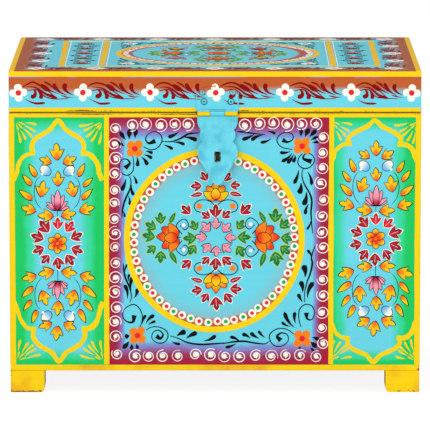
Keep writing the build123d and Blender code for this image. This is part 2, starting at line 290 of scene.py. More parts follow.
def woodGrainGroup():
    # rings seen along the board: a stretched wave bent by noise, over a pale and a dark brown
    group, given, result = newGroup("woodGrain", [("Place", None)], ["Colour", "Height"])
    along = stretched(given["Place"], (0.12, 1.0, 1.0))
    bent = {"Vector": along, "Scale": 46.0, "Distortion": 4.5, "Detail": 3.0}
    wave = addField(group, "Fac", "ShaderNodeTexWave", bent, bands_direction="DIAGONAL")
    fibre = noise(given["Place"], 320, 4, 0.65, (0.06, 1, 1))
    grain = wave * 0.35 + fibre * 0.65
    feed(result["Colour"], ramp(grain, [(0.25, "woodDark"), (0.75, "wood")]))
    feed(result["Height"], grain)
    return group


brushedEnamel = brushedEnamelGroup()
edgeWear = wearGroup()
woodGrain = woodGrainGroup()


def startMaterial(name):
    material = bpy.data.materials.new(name)
    material.use_nodes = True
    tree = material.node_tree
    shader = tree.nodes["Principled BSDF"]
    feed(shader.inputs["Specular IOR Level"], 0.1)
    return material, shader, addField(tree, "Object", "ShaderNodeTexCoord")


def finishMaterial(shader, colour, roughness, height, strength, distance):
    feed(shader.inputs["Base Color"], colour)
    feed(shader.inputs["Roughness"], roughness)
    relief = {"Strength": strength, "Distance": distance, "Height": height}
    feed(shader.inputs["Normal"], addField(height.tree, "Normal", "ShaderNodeBump", relief))


# Where the grounds of colour and the ornament lie, in millimetres: across from the box's middle,
# up from the ground
panelSettings = {
    "sidePanelMiddle": 155.0,
    "sidePanelHalf": 44.3,
    "centreLow": -105.6,
    "centreHigh": 113.4,
    "panelBottom": floorTop,
    "panelTop": 278.6,
    "roundX": -0.8,
    "roundZ": 152.6,
    "ringZ": 154.4,
    "ringTall": 1.035,
    "dotRing": 80.2,
    "yellowRing": 87.2,
    "endPitch": 92.6,
    "barWidth": 4.8,
    "bandFlowers": 303.2,
    "topLine": 199.5,
    "topRound": 98.6,
    "topX": 3.0,
    "topBars": (-154.5, -113.0, 118.6, 163.4),
}
# How the sprayed grounds fade, in millimetres, and how far noise moves their edges
spraySettings = {
    "greenUneven": 9.0,
    "crimsonUneven": 12.0,
    "bandUneven": 11.0,
    "topUneven": 16.0,
    "haze": (62.0, 78.0),
    "hazeStrength": 0.22,
    "terracotta": (74.5, 78.5),
    "terracottaEnd": 86.0,
    "bandFade": (301.0, 309.0),
    "bandLine": 1.6,
    "wornStrip": (1.6, 0.8),
    "frameEdge": -3.5,
    "topRing": (13, 2),
    "topSkin": 0.75,
}


def uneven(wobble, amount):
    # noise from 0 to 1 as a shift either way
    return (wobble - 0.5) * amount


def greenPanel(across, z, wobble):
    # green sprayed in from all four sides of an arched panel
    look = panelSettings
    side = look["sidePanelHalf"] - abs(across + 0.6)
    ends = least(look["panelTop"] - z, z - look["panelBottom"]) * 1.15 + 4.0
    inset = least(side, ends) + uneven(wobble, spraySettings["greenUneven"])
    stops = [(-4.0, "green"), (30.0, "turquoise"), (6.5, "green"), (14.0, "teal"), (24.0, "turquoise")]
    return ramp(inset, stops, -4.0, 30.0)


def middlePanel(x, z, shift):
    look = panelSettings
    spray = spraySettings
    # a crimson border that runs through violet into turquoise, narrow at the sides
    sides = least(x - look["centreLow"], look["centreHigh"] - x) * 1.9 - 7.6
    inset = least(sides, look["panelTop"] - z, z - look["panelBottom"]) + shift
    stops = [(0.0, "crimson"), (30.0, "turquoise"), (4.0, "crimson"), (9.0, "crimsonViolet")]
    stops += [(13.5, "violet"), (18.0, "periwinkle"), (24.0, "turquoise")]
    border = ramp(inset, stops, 0.0, 30.0)
    # round picture: terracotta under the dots, a faint haze inside them
    fromX = x - look["roundX"]
    fromZ = (z - look["ringZ"]) / look["ringTall"]
    radius = calc("SQRT", fromX * fromX + fromZ * fromZ)
    hazy = rise(radius + shift, *spray["haze"]) * spray["hazeStrength"]
    solid = rise(shift * 0.4 + radius, *spray["terracotta"])
    airbrush = most(hazy, solid) * between(radius, 0, spray["terracottaEnd"])
    return blendColour(airbrush, border, "terracotta")


def carcassColour(x, y, z, wobble):
    # the middle panel of the front, an arched panel on each side of it, then ends and back
    look = panelSettings
    away = (x > 0.0) * (-2 * look["sidePanelMiddle"]) + look["sidePanelMiddle"]
    outer = greenPanel(x + away, z, wobble)
    inMiddle = between(x, look["centreLow"] - 2, look["centreHigh"] + 2)
    middle = middlePanel(x, z, uneven(wobble, spraySettings["crimsonUneven"]))
    front = blendColour(inMiddle, outer, middle)
    # ends: three arched panels side by side
    third = calc("WRAP", y, look["endPitch"] / 2, -look["endPitch"] / 2)
    toEnd, toFace = pastFaces(x, y)
    isEnd = toEnd > toFace
    painted = blendColour(isEnd, front, greenPanel(third, z, wobble))
    isBack = (y > halfDeep - 2) * (1.0 - isEnd)
    ground = blendColour(isBack, painted, "turquoise")
    # the yellow frame runs over the boards' rounded edges
    frameMask = most(least(toEnd, toFace) > spraySettings["frameEdge"], z > look["panelTop"] + 0.6)
    return blendColour(frameMask, ground, "yellow")


def bandColour(z, wobble):
    # the lid's side: terracotta at the top, sprayed out into turquoise
    spray = spraySettings
    low, high = spray["bandFade"]
    stops = [(lidLow, "turquoise"), (railTop, "terracotta"), (low, "turquoise"), (high, "terracotta")]
    sprayed = ramp(uneven(wobble, spray["bandUneven"]) + z, stops, lidLow, railTop)
    # a worn strip under the top board's edge
    far, near = spray["wornStrip"]
    strip = rise(z, railTop - far, railTop - near) * rise(wobble, 0.44, 0.56)
    strip = blendColour(strip * 0.7, sprayed, "periwinkle")
    return blendColour(z < lidLow + spray["bandLine"], strip, "yellow")


def lidColour(x, y, z, wobble):
    look = panelSettings
    spray = spraySettings
    # the top: russet edge fading inwards, yellow down both sides, terracotta under the ring of dots
    sides = look["topLine"] - abs(x)
    inset = least(sides, halfDeep - abs(y)) + uneven(wobble, spray["topUneven"])
    stops = [(0.0, "russet"), (40.0, "turquoise"), (7.0, "russet"), (25.0, "turquoise")]
    top = ramp(inset, stops, 0.0, 40.0)
    radius = calc("SQRT", x * x + y * y)
    inner, outer = spray["topRing"]
    ring = between(radius, look["topRound"] - inner, look["topRound"] - outer, 2.0)
    top = blendColour(ring, top, "terracotta")
    isTop = z > boxTop - spray["topSkin"]
    colour = blendColour(isTop, bandColour(z, wobble), top)
    colour = blendColour(isTop * (sides < 0.0), colour, "goldTop")
    return blendColour((z > railTop) * (1.0 - isTop), colour, "yellow")


def plainYellow(x, y, z, wobble):
    # takes a place like the other rules, but only the noise matters here
    return blendColour(rise(wobble, 0.45, 0.75), "yellow", "amber")


boardFinish = {
    "skin": -0.8,
    # painted shade of the gap between lid and carcass: how far from the joint it fades out, in millimetres,
    # and how dark it is
    "gapShadeEdge": (0.3, 1.5),
    "paintedShade": 0.8,
    "wearAndShadeColour": 0.85,
    "bareRoughness": 0.72,
    "wearAndShadeRoughness": 0.7,
    "bump": 0.35,
    "bumpHeight": 0.0004,
}


def boardMaterial(name, colourRule, wear):
    # paint where a point lies on the outside of the box, bare wood within
    look = boardFinish
    material, shader, place = startMaterial(name)
    x, y, z = inMillimetres(place)
    toEnd, toFace = pastFaces(x, y)
    skin = most(toEnd, toFace, z - boxTop) > look["skin"]
    fromJoint = abs(z - jointZ)
    edge = least(fromJoint, abs(z - wear["line"]), abs(least(toEnd, toFace)))
    chips = useGroup(edgeWear, Place=place, Edge=edge, Reach=wear["reach"], Amount=wear["amount"])["Mask"]
    # chips of wear near the edges, and a dark band along both sides of the lid's joint that is painted shade
    # of the gap there
    wearAndShade = most(chips, (1.0 - rise(fromJoint, *look["gapShadeEdge"])) * look["paintedShade"])
    ground = colourRule(x, y, z, sprayNoise(place))
    enamel = useGroup(brushedEnamel, Colour=ground, Place=place, Streak=wear["streak"])
    wood = useGroup(woodGrain, Place=place)
    painted = blendColour(wearAndShade * look["wearAndShadeColour"], enamel["Colour"], "grimeAndShade")
    colour = blendColour(skin, wood["Colour"], painted)
    gloss = (enamel["Roughness"] - look["bareRoughness"]) * skin + look["bareRoughness"]
    roughness = most(gloss, wearAndShade * look["wearAndShadeRoughness"])
    height = wood["Height"] * 0.5 + enamel["Height"] * 0.5 - wearAndShade * 0.6
    finishMaterial(shader, colour, roughness, height, look["bump"], look["bumpHeight"])
    return material


def sheetMaterial(name, banded=False, rubbed=0.62):
    # turquoise enamel brushed over sheet metal, dark where hands and the padlock rub it
    material, shader, place = startMaterial(name)
    if banded:
        paint = bandColour(inMillimetres(place)[2], sprayNoise(place))
    else:
        paint = blendColour(rise(noise(place, 60, 4, 0.6), 0.4, 0.7), "turquoise", "turquoiseDeep")
    enamel = useGroup(brushedEnamel, Colour=paint, Place=place, Streak=0.16)
    chips = useGroup(edgeWear, Place=place, Edge=2.0, Reach=4.0, Amount=rubbed)["Mask"]
    colour = blendColour(chips, enamel["Colour"], "iron")
    finishMaterial(shader, colour, enamel["Roughness"], enamel["Height"] - chips, 0.5, 0.0003)
    return material


def ironMaterial():
    # bare dark iron, rusty in patches
    material, shader, place = startMaterial("darkIron")
    rust = rise(noise(place, 240, 5, 0.7), 0.5, 0.68)
    feed(shader.inputs["Metallic"], 0.85 - rust * 0.7)
    colour = blendColour(rust, "iron", "rust")
    finishMaterial(shader, colour, rust * 0.35 + 0.42, noise(place, 500, 4, 0.6), 0.4, 0.0002)
    return material


def dress(nodeName, material):
    mesh = nodes[nodeName].data
    mesh.materials.clear()
    mesh.materials.append(material)


carcassWear = {"line": baseLow.z / mm, "reach": 4.0, "amount": 0.55, "streak": 0.16}
lidWear = {"line": boxTop, "reach": 3.2, "amount": 0.5, "streak": 0.16}
yellowWear = {"line": 0.0, "reach": 9.0, "amount": 0.78, "streak": 0.3}
carcassPaint = boardMaterial("paintedCarcass", carcassColour, carcassWear)
lidPaint = boardMaterial("paintedLid", lidColour, lidWear)
yellowPaint = boardMaterial("yellowEnamel", plainYellow, yellowWear)
sheetPaint = sheetMaterial("paintedSheet")
bandedSheet = sheetMaterial("bandedSheet", True)
rubbedSheet = sheetMaterial("rubbedSheet", True, 0.95)
darkIron = ironMaterial()
carcassBoards = ("front_board", "back_board", "left_end_board", "right_end_board")
for nodeName in nodes:
    if nodeName in carcassBoards or nodeName == "carcass_corner_nails":
        dress(nodeName, carcassPaint)
    elif nodeName in ("lid_corner_nails", "lid_top_nails"):
        dress(nodeName, lidPaint)
    elif nodeName.startswith("lid_") and nodeName.endswith(("_rail", "_board")):
        dress(nodeName, lidPaint)
    elif nodeName == "hasp_leaf":
        dress(nodeName, bandedSheet)
    elif nodeName == "hasp_screws":
        dress(nodeName, rubbedSheet)
    elif nodeName.endswith("_leaf") or nodeName == "hasp_plate":
        dress(nodeName, sheetPaint)
    elif nodeName == "bottom_board" or nodeName.startswith("foot_") and nodeName != "foot_nails":
        dress(nodeName, yellowPaint)
    else:
        dress(nodeName, darkIron)
print("boards and hardware have their finishes")

# Paints for the brush. The plain ones are one colour all through, and blueStrokes are ink too.
plainPaints = {
    "yellowLine": "yellow", "goldLine": "goldTop", "violetLine": "violet", "limeEdges": "lime",
    "whiteDots": "white", "redDots": "red", "greenDots": "dotGreen", "darkRedStrokes": "darkRed",
    "inkAndShade": "ink", "blueStrokes": "ink", "pinkDeepStrokes": "pinkDeep",
}
paints = {name: [(0.0, colour), (1.0, colour)] for name, colour in plainPaints.items()}
# The others run from the base of a stroke to its tip: base, tip, then the stops between
paints |= {
    "goldLeaves": [
        (0.0, "orangeDeep"), (1.0, "yellow"), (0.1, "orangeDeep"), (0.2, "orange"), (0.36, "gold"),
    ],
    "maroonLeaves": [(0.0, "maroonLight"), (1.0, "maroon")],
    "redLeaves": [(0.0, "red"), (1.0, "maroonLight")],
    "greenLeaves": [(0.0, "leafGreen"), (1.0, "leafGreenDark")],
    "rosePetals": [(0.0, "red"), (1.0, "blush"), (0.55, "orangeDeep")],
    "orangePetals": [(0.0, "orangeDeep"), (1.0, "orange"), (0.55, "orange")],
    "marigoldPetals": [
        (0.0, "orangeDeep"), (1.0, "gold"), (0.25, "orangeDeep"), (0.55, "orange"), (0.85, "orange"),
    ],
    "sunPetals": [(0.0, "orangeDeep"), (1.0, "yellow"), (0.3, "orangeDeep"), (0.5, "orange"), (0.82, "gold")],
    "goldPetals": [(0.0, "orangeDeep"), (1.0, "yellow"), (0.22, "orange"), (0.55, "gold"), (0.85, "yellow")],
    "pinkPetals": [(0.0, "pinkDeep"), (1.0, "blush"), (0.2, "pinkDeep"), (0.5, "pink"), (0.8, "pink")],
    "skyBuds": [(0.0, "sky"), (1.0, "white"), (0.2, "sky"), (0.75, "white")],
}
paintMaterials = {}


def paintMaterial(name):
    if name in paintMaterials:
        return paintMaterials[name]
    material, shader, place = startMaterial(name)
    tone = addField(place.tree, "Fac", "ShaderNodeAttribute", attribute_name="tone")
    paint = ramp(tone, paints[name])
    enamel = useGroup(brushedEnamel, Colour=paint, Place=place, Streak=0.22)
    colour = enamel["Colour"]
    if name in ("yellowLine", "goldLine"):
        # the bands are rubbed and dirty along the lid's joint, the corners and the bottom
        x, y, z = inMillimetres(place)
        corner = least(*pastFaces(x, y)) * -1.6 + 2.4
        edge = least(abs(z - jointZ), abs(z - baseLow.z / mm), corner)
        chips = useGroup(edgeWear, Place=place, Edge=edge, Reach=7.0, Amount=1.0)["Mask"]
        colour = blendColour(chips * 0.85, colour, "grimeAndShade")
    finishMaterial(shader, colour, enamel["Roughness"], enamel["Height"], 0.25, 0.0003)
    paintMaterials[name] = material
    return material


# Painting surfaces: a place on one is across + i * up, in millimetres from its origin
def canvas(name, body, origin, across, up=(0, 0, 1), slot="turquoise_boards", lift=None):
    across, up = np.array(across, float), np.array(up, float)
    return {
        "name": name, "body": body, "origin": np.array(origin, float) * mm, "across": across,
        "up": up, "out": np.cross(across, up), "pots": {}, "slot": slot, "lift": lift,
    }


# How thick the paint lies, in millimetres, and how far in the ring of a blob's dome is
brush = {"firstLayer": 0.07, "perLayer": 0.055, "crown": 0.05, "sunk": -0.05, "innerRing": 0.6}
petalStep = 1.05  # layers from one petal of a flower to the next


def pour(sheet, pot, points, heights, tones, faces):
    # faces are kept as whole arrays of corner numbers until the surface is finished
    stack = sheet["pots"].setdefault(pot, {"count": 0, "verts": [], "tones": [], "faces": []})
    if sheet["lift"] is not None:
        heights = heights + sheet["lift"](points)
    place = np.stack([points.real, points.imag, heights], -1).reshape(-1, 3)
    stack["verts"].append(place)
    stack["tones"].append(np.broadcast_to(tones, points.shape).reshape(-1))
    stack["faces"] += [(face + stack["count"]) for face in faces]
    stack["count"] += len(place)


def level(layer):
    # how high the flat of a layer of paint lies over the board
    return brush["firstLayer"] + brush["perLayer"] * layer


def sweep(sheet, pot, paths, halfWidths, layer=1, tone=None):
    # a five-cornered section, flat-sided and crowned, carried along each path
    paths = np.atleast_2d(paths)
    count, steps = paths.shape
    run = np.gradient(paths, axis=1)
    side = 1j * run / np.maximum(np.abs(run), 1e-9)
    reach = side * np.broadcast_to(halfWidths, paths.shape)
    low, edge = brush["sunk"], level(layer)
    crown = edge + brush["crown"]
    points = np.stack([paths + reach, paths + reach, paths, paths - reach, paths - reach], -1)
    heights = np.broadcast_to(np.array([low, edge, crown, edge, low]), points.shape)
    if tone is None:
        tone = np.linspace(0, 1, steps)[None, :]
    tones = np.broadcast_to(np.asarray(tone)[..., None], points.shape)
    index = np.arange(count * steps * 5).reshape(count, steps, 5)
    turned = np.roll(index, -1, 2)
    quads = np.stack([index[:, :-1], turned[:, :-1], turned[:, 1:], index[:, 1:]], -1).reshape(-1, 4)
    pour(sheet, pot, points, heights, tones, [quads, index[:, 0, ::-1], index[:, -1]])


def fill(sheet, pot, outlines, centres, layer=1, tones=None, heart=None):
    # a blob of paint: sides straight up, top domed through one inner ring to its centre
    outlines = np.atleast_2d(outlines)
    centres = np.atleast_1d(centres)[:, None]
    count, steps = outlines.shape
    following = np.roll(outlines, -1, 1)
    area = np.sum((outlines.conj() * following).imag, 1)
    flipped = area < 0
    outlines = np.where(flipped[:, None], outlines[:, ::-1], outlines)
    tones = np.zeros(outlines.shape) if tones is None else np.broadcast_to(tones, outlines.shape)
    tones = np.where(flipped[:, None], tones[:, ::-1], tones)
    middle = tones.mean(1)[:, None] if heart is None else np.full((count, 1), heart)
    inner = centres + (outlines - centres) * brush["innerRing"]
    points = np.concatenate([outlines, outlines, inner, centres, centres], 1)
    low, edge = brush["sunk"], level(layer)
    crown = edge + brush["crown"]
    ring = np.ones(steps)
    heights = np.concatenate([ring * low, ring * edge, ring * (edge + crown) / 2, [crown, low]])
    allTones = np.concatenate([tones, tones, tones * 0.5 + middle * 0.5, middle, middle], 1)
    base = (np.arange(count) * (3 * steps + 2))[:, None]
    near = np.arange(steps)[None, :] + base
    far = np.roll(np.arange(steps), -1)[None, :] + base
    sides = np.stack([near, far, far + steps, near + steps], -1).reshape(-1, 4)
    slope = np.stack([near + steps, far + steps, far + 2 * steps, near + 2 * steps], -1).reshape(-1, 4)
    peak = np.broadcast_to(base + 3 * steps, near.shape)
    cap = np.stack([near + 2 * steps, far + 2 * steps, peak], -1).reshape(-1, 3)
    floor = np.stack([far, near, peak + 1], -1).reshape(-1, 3)
    pour(sheet, pot, points, np.broadcast_to(heights, points.shape), allTones, [sides, slope, cap, floor])


def makePiece(sheet, pot, stack):
    verts = np.concatenate(stack["verts"])
    axes = np.stack([sheet["across"], sheet["up"], sheet["out"]])
    world = sheet["origin"] + verts @ axes * mm
    faces = [face for block in stack["faces"] for face in block.tolist()]
    mesh = bpy.data.meshes.new(f"{sheet['name']}_{pot}")
    mesh.from_pydata(world.tolist(), [], faces)
    mesh.attributes.new("tone", "FLOAT", "POINT").data.foreach_set("value", np.concatenate(stack["tones"]))
    mesh.polygons.foreach_set("use_smooth", np.zeros(len(faces), bool))
    mesh.materials.append(paintMaterial(pot))
    piece = bpy.data.objects.new(mesh.name, mesh)
    bpy.context.scene.collection.objects.link(piece)
    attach(piece, sheet["body"])


def finishCanvas(sheet):
    for pot, stack in sheet["pots"].items():
        stack["faces"] = [np.atleast_2d(face) for face in stack["faces"]]
        makePiece(sheet, pot, stack)
    print("painted", sheet["name"], {pot: stack["count"] for pot, stack in sheet["pots"].items()})


# Places: functions that carry a motif's own coordinates to the surface
def placed(at=0, angle=0.0, size=1.0, flipX=False, flipY=False, within=None):
    # mirrored first, then turned and scaled by one complex number, then moved
    def carry(points):
        points = np.asarray(points, complex)
        points = -points.conj() if flipX else points
        points = points.conj() if flipY else points
        points = at + size * heading(angle) * points
        return within(points) if within else points
    return carry


def shaken(points, amount):
    # each point moved at random both ways
    points = np.asarray(points, complex)
    return points + amount * (rng.normal(size=points.shape) + 1j * rng.normal(size=points.shape))


def smoothPath(points, steps):
    # a cubic through the points: at each its slope is half the way from the one before to the one after
    points = np.asarray(points, complex)
    ends = np.concatenate([[2 * points[0] - points[1]], points, [2 * points[-1] - points[-2]]])
    spans = len(ends) - 3
    t = np.linspace(0, spans, steps * spans + 1)
    index = np.minimum(t.astype(int), spans - 1)
    u = t - index
    a, b, c, d = (ends[index + shift] for shift in range(4))
    return 0.5 * (2 * b + (c - a) * u + (2 * a - 5 * b + 4 * c - d) * u**2 + (3 * b - a - 3 * c + d) * u**3)


def dropWidth(t):
    # thin at the start, fattest near the end and rounded off: t times the root of 1 less t to the 7th
    return 0.1 + 0.98 * t * np.sqrt(np.maximum(1 - t**7, 0)) * 1.12


def arcWidth(t):
    # never quite thin: half, and half a sine
    return 0.5 + 0.5 * np.sin(math.pi * t)


def leafWidth(t, belly=0.62):
    # thin at both ends: a sine whose middle is moved to the belly
    return 0.05 + 0.95 * np.sin(math.pi * t ** (math.log(0.5) / math.log(belly)))


def strokes(sheet, pot, starts, ends, width, bend=0.12, shape=dropWidth, layer=1, steps=10):
    # brush marks: a quadratic bend off the straight line
    starts, ends = np.atleast_1d(starts), np.atleast_1d(ends)
    t = np.linspace(0, 1, steps)[None, :]
    run = (ends - starts)[:, None]
    bends = np.broadcast_to(bend, starts.shape)[:, None]
    paths = starts[:, None] + run * t + 1j * run * bends * 4 * t * (1 - t)
    widths = np.broadcast_to(width, starts.shape)[:, None] / 2
    sweep(sheet, pot, paths, widths * shape(t), layer)


def mark(sheet, pot, where, points, width, shape):
    # one brush mark along a few given points
    path = smoothPath(shaken(points, 0.25), 7)
    t = np.linspace(0, 1, len(path))
    sweep(sheet, pot, where(path), width / 2 * shape(t) * rng.uniform(0.92, 1.1))


def line(sheet, pot, points, width, layer=1, steps=10, taper=False, wobble=0.04):
    # a smooth curve of even width, with a hand's unsteadiness; a tapered one thins over its end sixths
    path = smoothPath(points, steps)
    t = np.linspace(0, 1, len(path))
    ends = np.minimum(np.minimum(t, 1 - t) * 6, 1) if taper else 1.0
    grain = 1 + wobble * np.convolve(rng.normal(size=len(path)), np.ones(3), "same")
    sweep(sheet, pot, path, width / 2 * ends * grain, layer)


def turns(count, shift=0.0, extra=0):
    # directions evenly round a circle, with extra ones past the start to close a line
    return np.exp(2j * math.pi * (np.arange(count + extra) + shift) / count)


def heading(angle):
    # a direction as a complex number, 0 degrees across and 90 up
    return np.exp(1j * np.radians(angle))


def leafRing(reach, angles, length):
    # leaves that point away from a middle
    return [(reach * heading(angle), angle, length) for angle in angles]


def dots(sheet, pot, places, radius, layer=1, steps=12, tone=1.0):
    # slightly uneven circles about their places
    places = np.atleast_1d(places)
    radii = np.broadcast_to(radius, places.shape)[:, None]
    rough = 1 + 0.025 * rng.normal(size=(len(places), steps))
    outlines = places[:, None] + radii * turns(steps)[None, :] * rough
    fill(sheet, pot, outlines, places, layer, np.full(outlines.shape, tone))


def spiral(rounds, startRadius, endRadius, steps):
    # the radius grows evenly as it turns
    t = np.linspace(0, 1, steps)
    return (startRadius + (endRadius - startRadius) * t) * np.exp(2j * math.pi * rounds * t)


# Leaf and petal outlines, base at 0 and tip at 1i
leafHalf = [0.05 + 0.03j, 0.19 + 0.16j, 0.31 + 0.36j, 0.42 + 0.64j]
leafHalf += [0.27 + 0.6j, 0.15 + 0.55j, 0.17 + 0.75j, 0.08 + 0.92j]
lobedLeaf = np.array([0j] + leafHalf + [1j] + [-point.conjugate() for point in leafHalf[::-1]])


def petalOutline(width, point=0.45, steps=14):
    # sideways a sine that narrows towards the tip, upwards half a cosine
    turn = 2 * math.pi * np.arange(steps) / steps
    up = (1 - np.cos(turn)) / 2
    return width / 2 * np.sin(turn) * (1 - up) ** point * 1.5 + 1j * up


fullLeaf = 1.2 * lobedLeaf.real + 1j * lobedLeaf.imag
slimLeaf = petalOutline(0.33, 0.42, 14)
slenderPetal = petalOutline(0.26, 0.25, 14)
longPetal = petalOutline(0.36, 0.06, 16)
discPetal = petalOutline(0.5, 0.05, 16)
keenPetal = petalOutline(0.46, 0.3, 14)
plumpPetal = petalOutline(0.6, 0.15, 16)
eggPetal = petalOutline(0.52, 0.04, 16)
leafKinds = {
    "gold": {"body": "goldLeaves", "outline": "inkAndShade", "rootTone": 0.1, "heart": 0.24},
    "maroon": {"body": "maroonLeaves", "edge": "whiteDots", "grow": 0.15},
    "green": {"body": "greenLeaves", "edge": "limeEdges", "grow": 0.14},
    "red": {"body": "redLeaves", "edge": "whiteDots", "grow": 0.15},
    "pink": {"body": "pinkPetals", "edge": "pinkDeepStrokes", "outline": "inkAndShade", "heart": 0.62},
}
midVein = [0.14j, 0.3j, 0.5j, 0.7j]
sideVeins = [[0.2j, 0.13 + 0.32j, 0.25 + 0.42j], [0.2j, -0.13 + 0.32j, -0.25 + 0.42j]]


def leaves(sheet, where, kind, spots, slim=False, layer=1):
    # spots are (base, direction in degrees, length)
    look = leafKinds[kind]
    edge = look.get("edge")
    shape = slimLeaf if slim else lobedLeaf if kind == "gold" else fullLeaf
    base = shaken([spot[0] for spot in spots], 0.3)
    turn = np.radians([spot[1] - 90 for spot in spots]) + rng.normal(size=len(spots)) * 0.08
    length = np.array([spot[2] for spot in spots]) * (1 + 0.05 * rng.normal(size=len(spots)))
    grow = (length * np.exp(1j * turn))[:, None]

    def carry(points):
        return where(base[:, None] + grow * np.asarray(points)[None, :])

    middle = 0.42j
    rootTone = look.get("rootTone", 0.36)
    tones = rootTone + (1 - rootTone) * shape.imag
    if "grow" in look:
        # the pale rim is a larger leaf underneath
        outer = middle + (shape - middle) * (1 + look["grow"])
        fill(sheet, edge, carry(outer), carry([middle])[:, 0], layer)
    fill(sheet, look["body"], carry(shape), carry([middle])[:, 0], layer + 1, tones, look.get("heart", 0.2))
    # the rim's paint draws the veins too, and white ones are a single line
    veins = [midVein] if edge else []
    if edge and edge != "whiteDots" and not slim:
        veins += sideVeins
    for vein in veins:
        sweep(sheet, edge, carry(vein), 0.14, layer + 2.2)
    if "outline" in look:
        # a black line down the shaded side, a thinner one on the other
        half = len(shape) // 2
        sweep(sheet, look["outline"], carry(shape[: half + 1]), 0.42, layer + 2)
        sweep(sheet, look["outline"], carry(shape[half:]), 0.26, layer + 2)


def blossom(sheet, where, pot, petals, layer=2):
    # petals are (direction, length, outline shape, tipped), the back ones first, tipped ones dark there
    for order, (angle, length, shape, tipped) in enumerate(petals):
        turn = length * heading(angle - 90 + rng.normal() * 2)
        rim = where(turn * shape)
        lift = layer + petalStep * order
        fill(sheet, pot, rim, where(turn * 0.5j), lift, 1.05 - shape.imag if tipped else shape.imag)
        sweep(sheet, "inkAndShade", np.append(rim, rim[:1]), 0.3, lift + 0.5)


def lotusPetals(size):
    # long petals fanned from one root, the outer ones behind
    fan = [(17, 0.9), (163, 0.9), (37, 1.0), (143, 1.0), (65, 1.22), (112, 1.22), (90, 1.5)]
    return [(angle, size * reach, slenderPetal, False) for angle, reach in fan]


def goldLotusPetals(size):
    # a tip petal and two round ones behind, two wide side petals, one round petal in the middle
    back = [(90, 1.62, keenPetal, True), (58, 1.42, longPetal, True), (122, 1.42, longPetal, True)]
    near = [(30, 1.28, keenPetal, False), (150, 1.28, keenPetal, False), (90, 1.0, plumpPetal, False)]
    return [(angle, size * reach, shape, tipped) for angle, reach, shape, tipped in back + near]


def rosette(sheet, where, pot, radius, count, heart, layer=2):
    # disc petals evenly round a dot, a red ray along each
    petals = [(90 + 360 * i / count, radius, discPetal, False) for i in range(count)]
    blossom(sheet, where, pot, petals, layer)
    top = layer + petalStep * count
    rays = np.exp(2j * math.pi * np.arange(count) / count + 0.5j * math.pi)
    strokes(sheet, "redDots", where(rays * radius * 0.15), where(rays * radius * 0.6), 1.1, 0, leafWidth, top)
    dots(sheet, heart, where([0]), radius * 0.15, top + 1.5)


def whiteFlower(sheet, at, radius=9.0, layer=3):
    # four round dabs of white about a red dot
    turn = rng.normal() * 0.12
    petals = at + radius * 0.57 * np.exp(1j * (turn + math.pi / 2 * np.arange(4)))
    dots(sheet, "whiteDots", petals, radius * 0.43, layer, 14)
    dots(sheet, "whiteDots", [at], radius * 0.42, layer)
    dots(sheet, "redDots", [at], radius * 0.32, layer + 1.6)


# Side panels with their arch, corner fans and flower sprays
archSettings = {
    "half": [122j, 7 + 113.6j, 14.5 + 108.7j, 21.5 + 103.5j, 25.8 + 96.8j, 25.2 + 88.4j],
    "shoulder": [23.2 + 88.8j, 30.2 + 88.2j, 35.8 + 84j, 39.5 + 77j, 41.2 + 69j, 44.3 + 61.5j],
    "leftWidth": 3.9,
    "rightWidth": 5.0,
    "fanRoot": 43.5 + 121.5j,
    "fanAngles": (193, 210, 225, 240, 260),
    "fanShort": (205, 228, 252),
    "sprayDrop": -2.0,
}


def archPanel(sheet, at, archShift=0.0, artShift=0.0, squat=1.0):
    # an arch at the top, the same turned over below, and a spray above and below a ring of leaves
    look = archSettings
    for flipY in (False, True):
        apex = look["half"][0].imag

        def lowered(points):
            points = shaken(points, 0.25)
            return points.real + 1j * (apex - (apex - points.imag) * squat)

        arch = placed(at + archShift, flipY=flipY)
        half = lowered(look["half"])
        line(sheet, "yellowLine", arch(np.append(-half[:0:-1].conj(), half)), 4.5, 2)
        for flipX in (False, True):
            width = look["leftWidth"] if flipX else look["rightWidth"]
            side = placed(at + archShift, flipX=flipX, flipY=flipY)
            line(sheet, "yellowLine", side(lowered(look["shoulder"])), width, 2)
            corner = placed(at, flipX=flipX, flipY=flipY)
            long = np.exp(1j * (np.radians(look["fanAngles"]) + rng.normal(size=5) * 0.04))
            starts = look["fanRoot"] + long * rng.uniform(9, 11.5, 5)
            ends = look["fanRoot"] + long * rng.uniform(21.5, 25, 5)
            strokes(sheet, "yellowLine", corner(starts), corner(ends), 2.7, 0.05)
            short = np.exp(1j * (np.radians(look["fanShort"]) + rng.normal(size=3) * 0.05))
            starts = look["fanRoot"] + short * 2.5
            ends = look["fanRoot"] + short * 10
            strokes(sheet, "yellowLine", corner(starts), corner(ends), 1.7, 0.03)
    centre = at + artShift + 1j * look["sprayDrop"]
    for flipY in (False, True):
        spray(sheet, centre, flipY, 5.0 if flipY else 0.0)
    ring = leafRing(14.2, range(90, 450, 36), 12.8)
    leaves(sheet, placed(centre), "red", ring[:1] + ring[9:])
    leaves(sheet, placed(centre), "maroon", ring[1:9])
    rosette(sheet, placed(centre), "sunPetals", 10.2, 6, "orangePetals")


